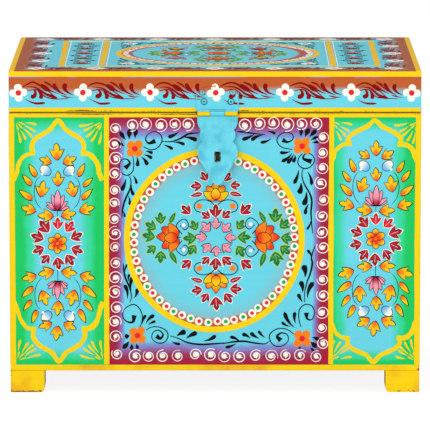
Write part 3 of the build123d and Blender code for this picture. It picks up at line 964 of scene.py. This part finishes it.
def spray(sheet, centre, flipY, lotusUp):
    # one bunch, growing up from the rosette; the lower one is the same turned over
    where = placed(centre, flipY=flipY)
    leaves(sheet, where, "gold", [(83.5j, 91, 15.5), (0.3 + 57.7j, 92, 15)])
    foot = 1j * (33.8 + lotusUp)
    blossom(sheet, placed(foot, within=where), "pinkPetals", lotusPetals(13.5 - 0.3 * lotusUp))
    line(sheet, "inkAndShade", where([foot, foot - 3j, 27j]), 0.6, 1, 4)
    for flipX in (False, True):
        half = placed(0, flipX=flipX, within=where)
        lobed = [(5.8 + 81.2j, 26, 14.2), (16.4 + 47j, 101, 16.5), (3.2 + 28j, 4, 15.4)]
        lobed += [(21.5 + 32.2j, 15, 16)]
        leaves(sheet, half, "gold", lobed)
        slim = [(20.7 + 67j, 64, 14.6), (25.6 + 57.6j, 52, 14), (24.4 + 44.2j, 41, 15.8)]
        leaves(sheet, half, "gold", slim, slim=True)
        stem = half([16.5 + 68.4j, 21.5 + 62j, 23 + 50.7j, 20.5 + 40.6j, 15 + 34j])
        line(sheet, "inkAndShade", stem, 0.55, 1, 8, True)
        blossom(sheet, placed(7 + 69.6j, within=half), "skyBuds", [(41, 12.4, eggPetal, False)])
        dots(sheet, "whiteDots", half([15 + 70j]), 1.2, 3)


# Middle panel: border of snail curls, corner flowers with vines, round picture
curlSettings = {
    # rows and columns of curls: first and last place, the way they face, how many
    "runs": (
        (-83 + 271.6j, 100 + 271.6j, 0, 14),
        (-97 + 37.3j, 101.5 + 37.3j, 180, 14),
        (-100 + 266j, -100 + 56.5j, 100, 15),
        (107.5 + 260j, 107.5 + 50j, -80, 14),
    ),
    "smallest": 1.5,
    "growth": 4.7,
    "halfTurns": -2.7,
    "lineWidth": 0.57,
    "thinning": 0.33,
    "dab": (1.9, 2.9),
    "tailWidth": 2.6,
}


def curlBorder(sheet):
    look = curlSettings
    for start, end, inward, count in look["runs"]:
        spots = shaken(start + (end - start) * np.linspace(0, 1, count), 0.7)
        t = np.linspace(0, 1, 28)
        # a snail line that opens from the dab in its middle
        radius = look["smallest"] + look["growth"] * t**0.62
        curl = radius * np.exp(1j * (look["halfTurns"] * math.pi * t + 0.4))
        turn = np.exp(1j * (math.radians(inward) + rng.normal(size=count)[:, None] * 0.6))
        sizes = 1.04 + 0.1 * rng.normal(size=count)[:, None]
        width = look["lineWidth"] - look["thinning"] * t[None, :] * rng.uniform(0.3, 1.1, (count, 1))
        sweep(sheet, "whiteDots", spots[:, None] + curl[None, :] * turn * sizes, width, 1)
        # the dab is a blot with a short tail
        tail = heading(inward + rng.uniform(40, 170, count))
        dots(sheet, "whiteDots", spots - 0.5 * tail, rng.uniform(*look["dab"], count), 1)
        strokes(sheet, "whiteDots", spots + 3.2 * tail, spots - 1.0 * tail, look["tailWidth"], 0.15)


# Brush marks round each corner flower, in millimetres from it: drops are (thin end, fat end, width)
cornerMarks = {
    "topLeft": {
        "curls": [
            [8.6 + 2j, 15.8 - 0.9j, 22.4 + 0.9j, 26.9 + 7.2j, 25.8 + 13.9j, 19.7 + 17.4j, 13 + 14.4j,
             10.8 + 9.4j, 14.1 + 5.6j, 20.4 + 8j],
            [-2 - 7.2j, -1.1 - 16.7j, -2.6 - 23.3j, -8.1 - 26.7j, -14.2 - 23.3j, -15.6 - 16.7j,
             -13.1 - 11.1j, -7.8 - 10.6j, -5.1 - 14.6j, -9.8 - 19.4j],
        ],
        "stems": [
            [27.1 + 7.4j, 35.8 + 7.2j, 44.7 + 10j, 53.6 + 15j, 63.6 + 16j],
            [-5.9 - 26.7j, -4 - 32.2j, -4.8 - 40j, -9.2 - 50j, -12.2 - 60j, -13.1 - 69.4j],
        ],
        "drops": [
            (44.1 + 17.2j, 33 + 11.7j, 3.3), (28.6 + 3.9j, 38 - 0.6j, 2.7), (38.6 + 6.4j, 49.7 + 3.9j, 2.8),
            (49.1 + 11.7j, 62.2 + 8.3j, 3.8), (-8.9 - 30j, -13.7 - 42.2j, 3.6),
            (-2 - 26.7j, 1.6 - 35.6j, 2.4), (-3.3 - 36.7j, -1.1 - 46.9j, 3.0),
            (-6.7 - 47.2j, -5.6 - 56.7j, 2.4), (-12 - 62.3j, -10.3 - 69j, 2.0),
            (10.8 - 2.2j, 17.8 - 4.7j, 2.8), (9.1 - 6.1j, 17.2 - 10j, 3.0), (6.7 - 8.3j, 12.4 - 16.7j, 3.6),
            (2.2 - 8.3j, 2.4 - 17.8j, 3.4),
        ],
        "rays": [
            (-8.7 + 8.9j, -15 + 17.8j, 3.6), (-5.3 + 9.4j, -4.8 + 20.4j, 4.2),
            (0.2 + 10.4j, 2 + 20.6j, 3.8), (-10.2 + 2.8j, -17 + 7.3j, 3.6),
        ],
    },
    "topRight": {
        "curls": [
            [-9.5 - 3.3j, -20 - 1.1j, -25 + 5j, -22.8 + 11.1j, -16.1 + 13.9j, -9.8 + 12j, -9.2 + 7.2j,
             -14.4 + 4.2j, -19.6 + 6.4j],
            [0.6 - 7.2j, -3.3 - 11.7j, -3.9 - 17.8j, 1.1 - 22.2j, 7.8 - 21.1j, 12.2 - 14.4j, 9.4 - 8.3j,
             3.3 - 7.8j, 1.3 - 12.5j, 9.4 - 15.4j],
        ],
        "stems": [
            [-36.7 + 11.7j, -47.8 + 12.8j, -57.8 + 14.2j, -64.4 + 14.7j],
            [1.1 - 22.8j, -0.2 - 28.9j, 2.2 - 37.8j, 7.8 - 47.8j, 9.8 - 55.6j, 9.1 - 67.8j, 10.6 - 87.8j],
        ],
        "drops": [
            (-34.4 + 14.6j, -26.4 + 12.2j, 2.4), (-47.8 + 12.2j, -60 + 6.7j, 3.4),
            (-39.4 + 11.1j, -50.6 + 5.6j, 3.4), (-31.1 + 7.8j, -41.7 + 3.9j, 2.8),
            (-3.3 - 23.9j, -8.3 - 37.8j, 3.4), (-1.1 - 36.7j, -3.3 - 47.8j, 4.8),
            (4.2 - 46.1j, 1.1 - 59.4j, 4.6), (6.7 - 58.3j, 3.6 - 68.9j, 3.2),
            (5.3 - 25.6j, 9.4 - 39.4j, 3.0), (8.9 - 75j, 4.6 - 84j, 2.2), (-11.7 - 5j, -22.2 - 6.1j, 3.0),
            (-10 - 6.7j, -20.6 - 15.3j, 3.2), (-8.3 - 7.8j, -15 - 17.2j, 3.4),
            (-6.7 - 8.9j, -9.4 - 16.1j, 3.4),
        ],
        "rays": [
            (-1.1 + 9.4j, -0.4 + 17.8j, 3.4), (2.8 + 9.2j, 7.4 + 18.2j, 4.4),
            (7.2 + 8.9j, 15.3 + 16.9j, 3.8), (8.3 + 6j, 16.5 + 9.6j, 2.8), (9.6 + 3.2j, 17.6 + 4.3j, 2.4),
        ],
    },
    "bottomRight": {
        "curls": [
            [-1.4 + 11.9j, -3.4 + 20.8j, -2.6 + 29.7j, 3 + 34.7j, 9.7 + 33j, 12.4 + 26.3j, 9.7 + 19.4j,
             5 + 20.2j, 4.1 + 26.3j],
            [-8.1 + 4.1j, -14.8 + 9.1j, -23.7 + 10.2j, -31.4 + 5.8j, -32.6 - 0.3j, -28.1 - 7j,
             -20.3 - 7.6j, -14.2 - 2.6j, -14.8 + 3.6j, -20.3 + 5.8j, -25 + 2.4j, -21.4 - 2j],
        ],
        "stems": [
            [2.4 + 36.9j, 2.4 + 46.3j, 4.7 + 57.4j, 8 + 66.3j, 9.9 + 76.3j, 9.1 + 83j, 12.4 + 94.1j],
            [-32 - 2j, -37 - 5.3j, -45.9 - 4.8j, -58.1 - 2.8j, -69 - 3.4j, -80 - 5.4j],
        ],
        "drops": [
            (5.2 + 41.3j, 11.3 + 57.4j, 4.2), (0.2 + 37.4j, -3.9 + 45.7j, 3.4),
            (0.2 + 46.9j, -2.2 + 58.4j, 4.4), (2.7 + 62.4j, 0.6 + 74.6j, 5.2), (9.1 + 82j, 4.8 + 90j, 2.6),
            (-37 + 0.8j, -43.9 + 8.1j, 2.6), (-43.1 + 0.2j, -51.8 + 6.1j, 3.4),
            (-52 + 0.2j, -60.4 + 4.4j, 3.4), (-62 - 3.6j, -72.5 + 1.6j, 3.0), (-66 - 5j, -77 - 9j, 2.8),
            (-7.6 + 11.3j, -17.8 + 27.2j, 3.6), (-6.4 + 15.2j, -7 + 27.2j, 3.2),
            (-12 + 12.4j, -20.6 + 17.1j, 2.6),
        ],
        "rays": [
            (9.7 + 1.3j, 18 - 1.6j, 3.2), (8 - 3.1j, 14.6 - 9.5j, 4.2), (8 - 9.2j, 12.2 - 13.4j, 2.4),
            (-2 - 7j, -3 - 11j, 2.2),
        ],
    },
    "bottomLeft": {
        "curls": [
            [8.7 + 5.4j, 13.7 + 8.4j, 21.2 + 8.7j, 28.7 + 5j, 30.6 - 1.2j, 26.9 - 6.9j, 20 - 7.5j,
             14.7 - 3.1j, 15.6 + 3.1j, 21.2 + 5.4j, 25.6 + 1.2j, 23 - 3j, 18.8 - 0.6j],
            [1.9 + 7.5j, 4.4 + 13.7j, 4.6 + 21.9j, 1 + 28.9j, -4 + 31.6j, -9.5 + 29.6j, -14 + 25.2j,
             -14.7 + 19.4j, -10.6 + 14.2j, -4.6 + 13.9j, -3.1 + 20.6j],
        ],
        "stems": [
            [32.5 - 0.4j, 40 - 2.5j, 50 - 7.1j, 62.5 - 9.1j, 76 - 8.5j, 90 - 7.4j],
            [-7.5 + 33.7j, -5.9 + 39.4j, -7.5 + 48.1j, -11.2 + 56.9j, -13.1 + 64.4j, -14.1 + 73.1j],
        ],
        "drops": [
            (39.4 - 0.4j, 48.6 + 4j, 4.8), (48.7 - 3.1j, 59.9 + 2.8j, 4.2), (34.4 - 5.9j, 43 - 8.6j, 2.6),
            (66.3 - 5.4j, 78.6 + 0.3j, 3.4), (-3.1 + 38.1j, -0.1 + 48j, 3.4),
            (-6.2 + 46.2j, -4.3 + 60j, 3.6), (-8.7 + 55j, -8 + 62.5j, 2.4),
            (-10 + 37.5j, -13.1 + 51.8j, 3.4), (-12.5 + 64.4j, -10 + 72.5j, 2.0),
            (5 + 11.9j, 8.8 + 20.9j, 2.8), (8.7 + 12.5j, 17.1 + 20.8j, 3.4),
            (10.6 + 10.6j, 18.4 + 14.6j, 2.4),
        ],
        "rays": [
            (-7.6 - 0.2j, -13 - 0.8j, 4.4), (-8.1 - 5.6j, -15.2 - 13.4j, 4.0),
            (-5.6 - 8.1j, -6.4 - 14.9j, 3.0), (-1.2 - 8.1j, 0 - 14.2j, 2.8),
        ],
    },
}


def cornerScroll(sheet, where, marks, size=1.0):
    # curls that end in a fat comma, stems that swell along their run, and drop leaves
    for points in marks["curls"]:
        path = smoothPath(points, 6)
        t = np.linspace(0, 1, len(path))
        sweep(sheet, "inkAndShade", where(path), (0.4 + 0.16 * np.sin(5 * t) + 2.4 * t**8) * size, 1)
    for points in marks["stems"]:
        path = smoothPath(points, 8)
        t = np.linspace(0, 1, len(path))
        swell = 0.38 + 0.62 * np.sin(math.pi * t**1.6)
        sweep(sheet, "inkAndShade", where(path), swell * size, 1)
    for thin, fat, width in marks["drops"]:
        bend = rng.choice([-0.1, 0.1, 0.06])
        strokes(sheet, "inkAndShade", where([thin]), where([fat]), 1.3 * width * size, bend)
    for near, far, width in marks["rays"]:
        strokes(sheet, "inkAndShade", where([near]), where([far]), 1.2 * width * size, 0.04, leafWidth)


def cornerFlower(sheet, at, corner):
    # four round petals about a larger one with a red heart, then the corner's scrolls
    where = placed(at)
    petals = 5.6 * heading([48, 137, 222, 318])
    dots(sheet, "orangePetals", where(shaken(petals, 0.3)), 4.3, 3, 14)
    dots(sheet, "orangePetals", where([0]), 5.0, 3, 14)
    dots(sheet, "redDots", where([0]), 2.9, 5)
    cornerScroll(sheet, where, cornerMarks[corner])


# Places of the round picture's leaves on one arm, right half, growing up from the middle
armSettings = {
    "upright": {
        "leaf": "maroon", "stroke": "inkAndShade", "dot": "orangePetals",
        "middle": [(20.8j, 90, 13.3), (60.4j, 90, 13)],
        "side": [
            (6.6 + 19.6j, 42, 10.8), (25.3 + 23.6j, 47, 12.7), (13.8 + 52.3j, 5, 11.4),
            (8.3 + 57j, 56, 10.8),
        ],
        "slim": [(14 + 44.6j, -18, 12)],
        "dotAt": 16.8 + 31.5j, "dotSize": 3.0,
        "curl": [
            14.8 + 25.2j, 19.8 + 26.9j, 21.7 + 31.9j, 18.2 + 36.7j, 11.4 + 37.9j, 5.6 + 36.2j, 1.4 + 32.6j,
        ],
        "flower": 38.3j, "petals": "goldPetals", "size": 11.4,
    },
    "level": {
        "leaf": "green", "stroke": "blueStrokes", "dot": "skyBuds",
        "middle": [(19.5j, 90, 13.2), (60.4j, 90, 12)],
        "side": [(8 + 19.8j, 28, 11.4), (13.6 + 55j, 5, 12.7), (8.8 + 59.8j, 51, 12.4)],
        "slim": [(15 + 45.8j, -24, 12.6)],
        "dotAt": 11.9 + 31.9j, "dotSize": 3.3,
        "curl": [
            3.2 + 33.9j, 11.9 + 39.6j, 18.3 + 33.3j, 16.6 + 29j, 11.2 + 27.5j, 7.8 + 31.2j, 11.9 + 36j,
        ],
        "flower": 38.6j, "petals": "marigoldPetals", "size": 13.0,
    },
}


# Dots round the picture, its arms as (angle, kind, size), and how its middle sits in the ring
ringSettings = {
    "lineHalf": 3.0,
    "count": 56,
    "white": 4.1,
    "inner": 2.0,
    "artShift": 1.8 + 4.8j,
    "arms": ((90, "upright", 1), (270, "upright", 1), (0, "level", 1.07), (180, "level", 1)),
}
loop = turns(120, extra=1)  # a closed circle of radius 1


def roundPicture(sheet, at):
    # a yellow ring, a ring of dots inside it, and four arms about a ring of pink leaves
    look = panelSettings | ringSettings
    wavy = 1 + 0.003 * np.sin(3 * np.angle(loop)) + 0.002 * np.cos(7 * np.angle(loop))
    middle = complex(at.real, look["ringZ"])

    def tall(points):
        return middle + points.real + 1j * look["ringTall"] * points.imag

    sweep(sheet, "yellowLine", tall(look["yellowRing"] * loop * wavy), look["lineHalf"], 2)
    ring = shaken(tall(look["dotRing"] * turns(look["count"], 0.3)), 0.35)
    dots(sheet, "whiteDots", ring, look["white"], 2, 14)
    dots(sheet, "redDots", shaken(ring[0::2], 0.2), look["inner"], 3.6, 10)
    dots(sheet, "greenDots", shaken(ring[1::2], 0.2), look["inner"], 3.6, 10)
    art = at + look["artShift"]
    for angle, arm, size in look["arms"]:
        blossomArm(sheet, placed(art, angle - 90, size), armSettings[arm])
    leaves(sheet, placed(art), "pink", leafRing(8.8, range(0, 360, 45), 11.8))


def blossomArm(sheet, where, look):
    # a gold or orange lotus with leaves round it, and a curl and a dot on each side
    petals = goldLotusPetals(look["size"])
    blossom(sheet, placed(look["flower"], within=where), look["petals"], petals)
    leaves(sheet, where, look["leaf"], look["middle"])
    line(sheet, "inkAndShade", where(look["flower"] + np.array([1j, -2j, -4j])), 0.6, 1, 5)
    for flipX in (False, True):
        half = placed(0, flipX=flipX, within=where)
        leaves(sheet, half, look["leaf"], look["side"])
        leaves(sheet, half, look["leaf"], look["slim"], slim=True)
        # a thin curl round each dot
        line(sheet, look["stroke"], half(look["curl"]), 0.9, 1, 6)
        isBud = look["dot"] == "skyBuds"
        dots(sheet, look["dot"], half([look["dotAt"]]), look["dotSize"], 2, tone=0.15 if isBud else 1.0)
        if isBud:
            dots(sheet, "whiteDots", half([look["dotAt"] + 0.6 + 0.4j]), look["dotSize"] * 0.58, 3.4)


# Lid band: white flowers with dark red brush scrolls between them, as (points, width, shape)
markPitch = 66.0  # the marks are drawn for flowers this far apart
bandMarks = [
    ([4.6 + 5.5j, 9 + 8.3j, 15 + 9.7j, 22.5 + 7j, 30.3 + 1.6j, 38.6 - 5j], 1.5, arcWidth),
    ([18.5 + 8.4j, 23 + 6.4j, 27.5 + 3.4j, 31 + 0.8j], 3.2, leafWidth),
    ([9 + 1.6j, 15.6 + 3j, 21 + 1.5j, 27.6 - 4j, 38.3 - 6.2j, 50.6 - 6.4j], 1.1, arcWidth),
    ([27.6 + 10.4j, 31 + 8.8j, 34.6 + 6.4j], 1.8, leafWidth),
    ([9 + 5.5j, 15 + 5.4j, 21 + 3.6j, 28 - 1.6j, 34 - 4j, 40 - 6j], 3.0, dropWidth),
    ([14.5 + 3.4j, 17 + 0.6j, 16.4 - 3j, 12.6 - 4.6j], 4.8, dropWidth),
    ([19.4 + 2.6j, 21.8 - 0.8j, 23.4 - 3.4j, 22.6 - 6.6j], 4.2, dropWidth),
    ([41 - 1.5j, 33 + 1.8j, 28 + 5j, 22.5 + 7.4j], 3.6, dropWidth),
    ([50 - 3j, 43 + 0.4j, 38.5 + 4.6j, 36 + 9.2j], 4.0, dropWidth),
    ([56 - 2.5j, 50 + 0.4j, 47.2 + 4.5j, 48.4 + 9j], 4.4, dropWidth),
    ([44 - 0.8j, 37 + 2.8j, 32 + 7.6j, 26.5 + 10.6j], 1.8, dropWidth),
    ([57 - 4.6j, 50 - 4.4j, 43 - 2.8j], 1.3, leafWidth),
    ([6.5 - 6.4j, 12 - 9.6j, 18 - 11j, 27.5 - 10.8j], 2.4, dropWidth),
]


def lidBand(sheet, flowers, height):
    # the marks are stretched sideways only, to fill each space between flowers
    for first, second in zip(flowers[:-1], flowers[1:]):
        stretch = (second - first) / markPitch
        at = complex(first, height)

        def where(points, at=at, stretch=stretch):
            points = np.asarray(points, complex)
            return at + points.real * stretch + 1j * points.imag

        for points, width, shape in bandMarks:
            mark(sheet, "darkRedStrokes", where, points, width * 1.08, shape)
    for x in flowers:
        whiteFlower(sheet, complex(x, height + rng.normal() * 0.5))


# Top of the lid
topSettings = {
    "ringOval": (1.03, 0.97),  # a little wider than deep
    "ringLine": 2.8,
    "dotOval": (94.5, 88.5),
    "dotCount": 72,
    "innerOval": (88.5, 82.5),
    "smallReach": 50,
    "smallLotuses": ((42, "rosePetals"), (138, "goldPetals"), (222, "pinkPetals"), (318, "goldPetals")),
    "barY": 107.0,
    "barWidth": 5.4,
    "barSide": 4.4,
    "whiteFrom": -155.0,
    "whiteTo": 159.0,
    "barRun": (-157, 0, 166),
    "strips": (-134.0, 141.0),
    "stripPitch": 41,
    "edgeX": 179,
    "edgeY": 124.5,
    "vineEnd": 178,
    "cornersX": (-88, 94),
    "cornersY": (-84, 84),
}


def oval(points, radii):
    return points.real * radii[0] + 1j * points.imag * radii[1]


def topPicture(sheet):
    # the round picture again, with a lotus arm each way and four small lotuses between
    look = topSettings
    middle = panelSettings["topX"]
    radius = panelSettings["topRound"]
    sweep(sheet, "goldLine", middle + oval(loop * radius, look["ringOval"]), look["ringLine"], 2)
    ring = middle + oval(turns(look["dotCount"]), look["dotOval"])
    dots(sheet, "whiteDots", shaken(ring, 0.3), 3.1, 2, 10)
    dots(sheet, "redDots", ring[0::2], 1.4, 3.6, 8)
    sweep(sheet, "violetLine", middle + oval(loop, look["innerOval"]), 0.8, 1)
    for angle in (0, 90, 180, 270):
        blossomArm(sheet, placed(middle, angle - 90), armSettings["level"])
    for angle, pot in look["smallLotuses"]:
        where = placed(middle + look["smallReach"] * heading(angle), angle - 90)
        blossom(sheet, where, pot, lotusPetals(12.0))
        leaves(sheet, where, "maroon", leafRing(15, range(30, 151, 30), 9))
    rosette(sheet, placed(middle), "orangePetals", 13.0, 8, "redDots")


def topBars(sheet):
    # yellow bars from front to back with thin white lines beside them, lime bars across
    look = topSettings
    across = np.array(look["barRun"])
    upright = 1j * look["barY"] * np.array([-1, 0, 1])
    for x in panelSettings["topBars"]:
        line(sheet, "goldLine", shaken(x + upright, 0.4), look["barWidth"], 2)
        # the outer bars have a white line on the inner side only
        for side in (-look["barSide"], look["barSide"]):
            if look["whiteFrom"] < x + side < look["whiteTo"]:
                line(sheet, "whiteDots", x + side + upright, 0.9, 2)
    for y in (-look["barY"], look["barY"]):
        line(sheet, "limeEdges", across + 1j * y, 3.6, 2)
        line(sheet, "whiteDots", across + 0.97j * y, 1.2, 2)


def sideStrip(sheet, x):
    # five lotuses with curls between
    for i in range(5):
        y = (i - 2) * topSettings["stripPitch"]
        blossom(sheet, placed(complex(x, y - 5)), "rosePetals", lotusPetals(10.0))
        for flipX in (False, True) if i < 4 else ():
            where = placed(complex(x, y + 20), flipX=flipX)
            sweep(sheet, "inkAndShade", where(6.5 + spiral(1.2, 1.0, 5.4, 22)), 0.6, 1)
            starts = where([2 + 5j, 2 - 5j, 10 + 7j])
            ends = where([9 + 11j, 9 - 11j, 14 + 3j])
            strokes(sheet, "inkAndShade", starts, ends, 2.4, 0.1)


def topBorders(sheet):
    # bars, side strips, the vine round the edge and scrolls in the corners
    look = topSettings
    topBars(sheet)
    for x in look["strips"]:
        sideStrip(sheet, x)
    # vine and white flowers round the edge
    for y in (-look["edgeY"], look["edgeY"]):
        lidBand(sheet, np.linspace(-look["vineEnd"], look["vineEnd"], 7), y)
    for x in (-look["edgeX"], look["edgeX"]):
        ys = np.linspace(-look["edgeY"], look["edgeY"], 5)
        for low, high in zip(ys[:-1], ys[1:]):
            where = placed(complex(x, low), 90, size=(high - low) / markPitch)
            for points, width, shape in bandMarks:
                mark(sheet, "darkRedStrokes", where, points, width * 1.2, shape)
        for y in ys[1:-1]:
            whiteFlower(sheet, complex(x + 3, y))
    for x in look["cornersX"]:
        for y in look["cornersY"]:
            whiteFlower(sheet, complex(x, y), 8.0)
            where = placed(complex(x, y), size=0.62, flipX=x > 0, flipY=y < 0)
            cornerScroll(sheet, where, cornerMarks["topLeft"], 0.8)


# Straight yellow bands on the carcass and the lid
look = panelSettings
panelMiddle = (look["panelBottom"] + look["panelTop"]) / 2
rightMiddle = look["sidePanelMiddle"] + 3.4
frameLow = floorTop + 0.3
frameHigh = carcassTop - 1.1
edgeInset = 3.0
bandInset = 1.0
barOutside = 2.6
joinBand = (look["panelTop"] - 0.2, frameHigh)
lidLine = (lidLow + 1.1, lidLow + 4.8)


def bands(sheet, uprights, top, levels):
    # uprights are their places across, levels are (low, high, left, right)
    for x in uprights:
        spots = x + 1j * np.array([frameLow, (frameLow + top) / 2, top])
        line(sheet, "yellowLine", shaken(spots, 0.25), panelSettings["barWidth"], 3, 20, wobble=0.02)
    for low, high, left, right in levels:
        spots = 1j * (low + high) / 2 + np.array([left, (left + right) / 2, right])
        line(sheet, "yellowLine", spots, high - low, 3, 24, wobble=0.02)


def fullWidth(half):
    # a band's two ends on a face that is twice half wide
    return -half + bandInset, half - bandInset


frontCanvas = canvas("front", "carcass", (0, faceY, 0), (1, 0, 0))
leftAt = complex(-look["sidePanelMiddle"], panelMiddle)
rightAt = complex(rightMiddle, panelMiddle)
archPanel(frontCanvas, leftAt, archShift=-1.3, artShift=-2.2)
archPanel(frontCanvas, rightAt, archShift=0.4, artShift=2.0 + 4.7j, squat=0.72)
uprights = (-halfWide + edgeInset, look["centreLow"] - barOutside)
uprights += (look["centreHigh"] + barOutside, halfWide - edgeInset)
bands(frontCanvas, uprights, look["panelTop"], [(*joinBand, *fullWidth(halfWide))])
curlBorder(frontCanvas)
roundAt = complex(look["roundX"], look["roundZ"])
cornerPlaces = {
    "topLeft": -79 + 94.1j,
    "topRight": 87.5 + 96.7j,
    "bottomRight": 88.1 - 97.9j,
    "bottomLeft": -76.9 - 94.8j,
}
for corner, away in cornerPlaces.items():
    cornerFlower(frontCanvas, roundAt + away, corner)
roundPicture(frontCanvas, roundAt)
finishCanvas(frontCanvas)

for name, x, side in (("rightEnd", halfWide, 1), ("leftEnd", -halfWide, -1)):
    endCanvas = canvas(name, "carcass", (x, middleY, 0), (0, side, 0))
    for i in (-1, 0, 1):
        archPanel(endCanvas, complex(i * look["endPitch"], panelMiddle))
    uprights = (-halfDeep + edgeInset, -look["endPitch"] / 2, look["endPitch"] / 2, halfDeep - edgeInset)
    bands(endCanvas, uprights, look["panelTop"], [(*joinBand, *fullWidth(halfDeep))])
    finishCanvas(endCanvas)
    lidEnd = canvas(name + "Lid", "lid", (x, middleY, 0), (0, side, 0))
    lidBand(lidEnd, np.linspace(-halfDeep + 11, halfDeep - 11, 5), look["bandFlowers"])
    bands(lidEnd, (), 0, [(*lidLine, *fullWidth(halfDeep))])
    finishCanvas(lidEnd)

backCanvas = canvas("back", "carcass", (0, rearY, 0), (-1, 0, 0))
uprights = (-halfWide + edgeInset, halfWide - edgeInset)
bands(backCanvas, uprights, frameHigh, [(frameLow, floorTop + 5, *fullWidth(halfWide))])
finishCanvas(backCanvas)


def overLeaf(points):
    # how far the hasp's fixed leaf stands off the lid at a point, its arched outline included
    across = np.abs(points.real - haspX)
    top = leafHigh.z / mm - 6.7 * (across / leafRadius) ** 2
    inside = (across < leafRadius) & (points.imag < top)
    return np.where(inside, haspSheet, 0.0)


def screwShadeRings(sheet, paintedShade):
    # the four screws stand in two pairs, the upper pair a little wider apart
    low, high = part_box("hasp_screws")
    head, inset = 2.6, 1.8
    for side in (-1, 1):
        edge = haspX + side * ((high.x - low.x) / mm / 2 - head)
        lower = complex(edge - side * inset, low.z / mm + head)
        upper = complex(edge, high.z / mm - head)
        # a dark ring round each head is painted shade where the head meets the leaf, and a dark dot on the
        # head is painted shade too
        for spot, width in ((lower, 0.34), (upper, 0.16)):
            ring = spot + (head + 0.5) * turns(16, extra=1)
            sweep(sheet, "inkAndShade", ring, width * rng.uniform(0.6, 1.3, 17), 1)
            dots(paintedShade, "inkAndShade", [spot], head * width, 1)


lidCanvas = canvas("lidFront", "lid", (0, faceY, 0), (1, 0, 0), lift=overLeaf)
lidFlowers = [-195.3, -131.2, -64.5, 0.7, 69.4, 135.4, 195.4]
lidBand(lidCanvas, lidFlowers, look["bandFlowers"])
# the lid's line stops at the hasp
bands(lidCanvas, (), 0, [(*lidLine, -halfWide + bandInset, haspX - leafRadius - 0.3)])
bands(lidCanvas, (), 0, [(*lidLine, haspX + leafRadius + 0.3, halfWide - bandInset)])
# a sheet 1.6 mm in front of the hasp's leaf carries the dark dots of painted shade on the screw heads
screwShade = canvas("screwShade", "lid", (0, faceY - haspSheet - 1.6, 0), (1, 0, 0))
screwShadeRings(lidCanvas, screwShade)
finishCanvas(lidCanvas)
finishCanvas(screwShade)

topCanvas = canvas("top", "lid", (0, middleY, boxTop), (1, 0, 0), (0, 1, 0))
topPicture(topCanvas)
topBorders(topCanvas)
finishCanvas(topCanvas)


# Floor, lights and camera
studioSettings = {
    "floorReach": 30.0,
    "floorTone": 0.93,
    "floorGlow": 1.1,
    "glowToCamera": 0.8,
    "ambient": 0.62,
    "ambientToCamera": 0.38,
    "ambientInGloss": 0.32,
}


def floorMaterial():
    # pale and a little bright to the camera, so that the floor stays white and keeps the shadow
    look = studioSettings
    material, shader, place = startMaterial("paleFloor")
    tree = place.tree
    feed(shader.inputs["Base Color"], (*[look["floorTone"]] * 3, 1))
    feed(shader.inputs["Roughness"], 0.9)
    glow = addField(tree, 0, "ShaderNodeEmission", {"Color": (1, 1, 1, 1), "Strength": look["floorGlow"]})
    share = addField(tree, "Is Camera Ray", "ShaderNodeLightPath") * look["glowToCamera"]
    surface = {0: share, 1: Field(tree, shader.outputs[0]), 2: glow}
    mixed = addField(tree, 0, "ShaderNodeMixShader", surface)
    feed(tree.nodes["Material Output"].inputs["Surface"], mixed)
    return material


floorMesh = bpy.data.meshes.new("floor")
reach = studioSettings["floorReach"]
corners = [(x * reach, y * reach, 0) for x, y in ((-1, -1), (1, -1), (1, 1), (-1, 1))]
floorMesh.from_pydata(corners, [], [(0, 1, 2, 3)])
floorMesh.materials.append(floorMaterial())
floorPiece = bpy.data.objects.new("floor", floorMesh)
bpy.context.scene.collection.objects.link(floorPiece)

world = bpy.data.worlds.new("studio")
world.use_nodes = True
backdrop = world.node_tree.nodes["Background"]
rays = addNode(world.node_tree, "ShaderNodeLightPath")
toCamera = Field(world.node_tree, rays.outputs["Is Camera Ray"]) * studioSettings["ambientToCamera"]
inGloss = Field(world.node_tree, rays.outputs["Is Glossy Ray"]) * studioSettings["ambientInGloss"]
feed(backdrop.inputs["Color"], (1, 1, 1, 1))
feed(backdrop.inputs["Strength"], toCamera + studioSettings["ambient"] - inGloss)
bpy.context.scene.world = world


def softLight(name, place, size, power, aim=(0, 0, 0.15)):
    lamp = bpy.data.lights.new(name, "AREA")
    lamp.shape = "SQUARE"
    lamp.size = size
    lamp.energy = power
    body = bpy.data.objects.new(name, lamp)
    body.location = place
    body.rotation_euler = (Vector(aim) - Vector(place)).to_track_quat("-Z", "Y").to_euler()
    bpy.context.scene.collection.objects.link(body)


softLight("frontLight", place=(-0.9, -2.6, 1.7), size=1.6, power=26)
softLight("sideLight", place=(1.9, -1.7, 1.3), size=1.4, power=9)
softLight("topLight", place=(0.1, -0.4, 2.8), size=1.4, power=8)

cameraSettings = {"distance": 4.385, "above": 0.548, "lens": 372.6, "aimX": 0.0, "aimZ": 0.180}
eye = bpy.data.cameras.new("camera")
eye.lens = cameraSettings["lens"]
eye.sensor_width = 36.0
eye.clip_end = 100
cameraPiece = bpy.data.objects.new("camera", eye)
cameraPlace = Vector((0, faceY * mm - cameraSettings["distance"], boxTop * mm + cameraSettings["above"]))
cameraAim = Vector((cameraSettings["aimX"], faceY * mm, cameraSettings["aimZ"]))
cameraPiece.location = cameraPlace
cameraPiece.rotation_euler = (cameraAim - cameraPlace).to_track_quat("-Z", "Y").to_euler()
bpy.context.scene.collection.objects.link(cameraPiece)
bpy.context.scene.camera = cameraPiece
bpy.context.scene.view_settings.view_transform = "Standard"
print("floor, lights and camera are in place")
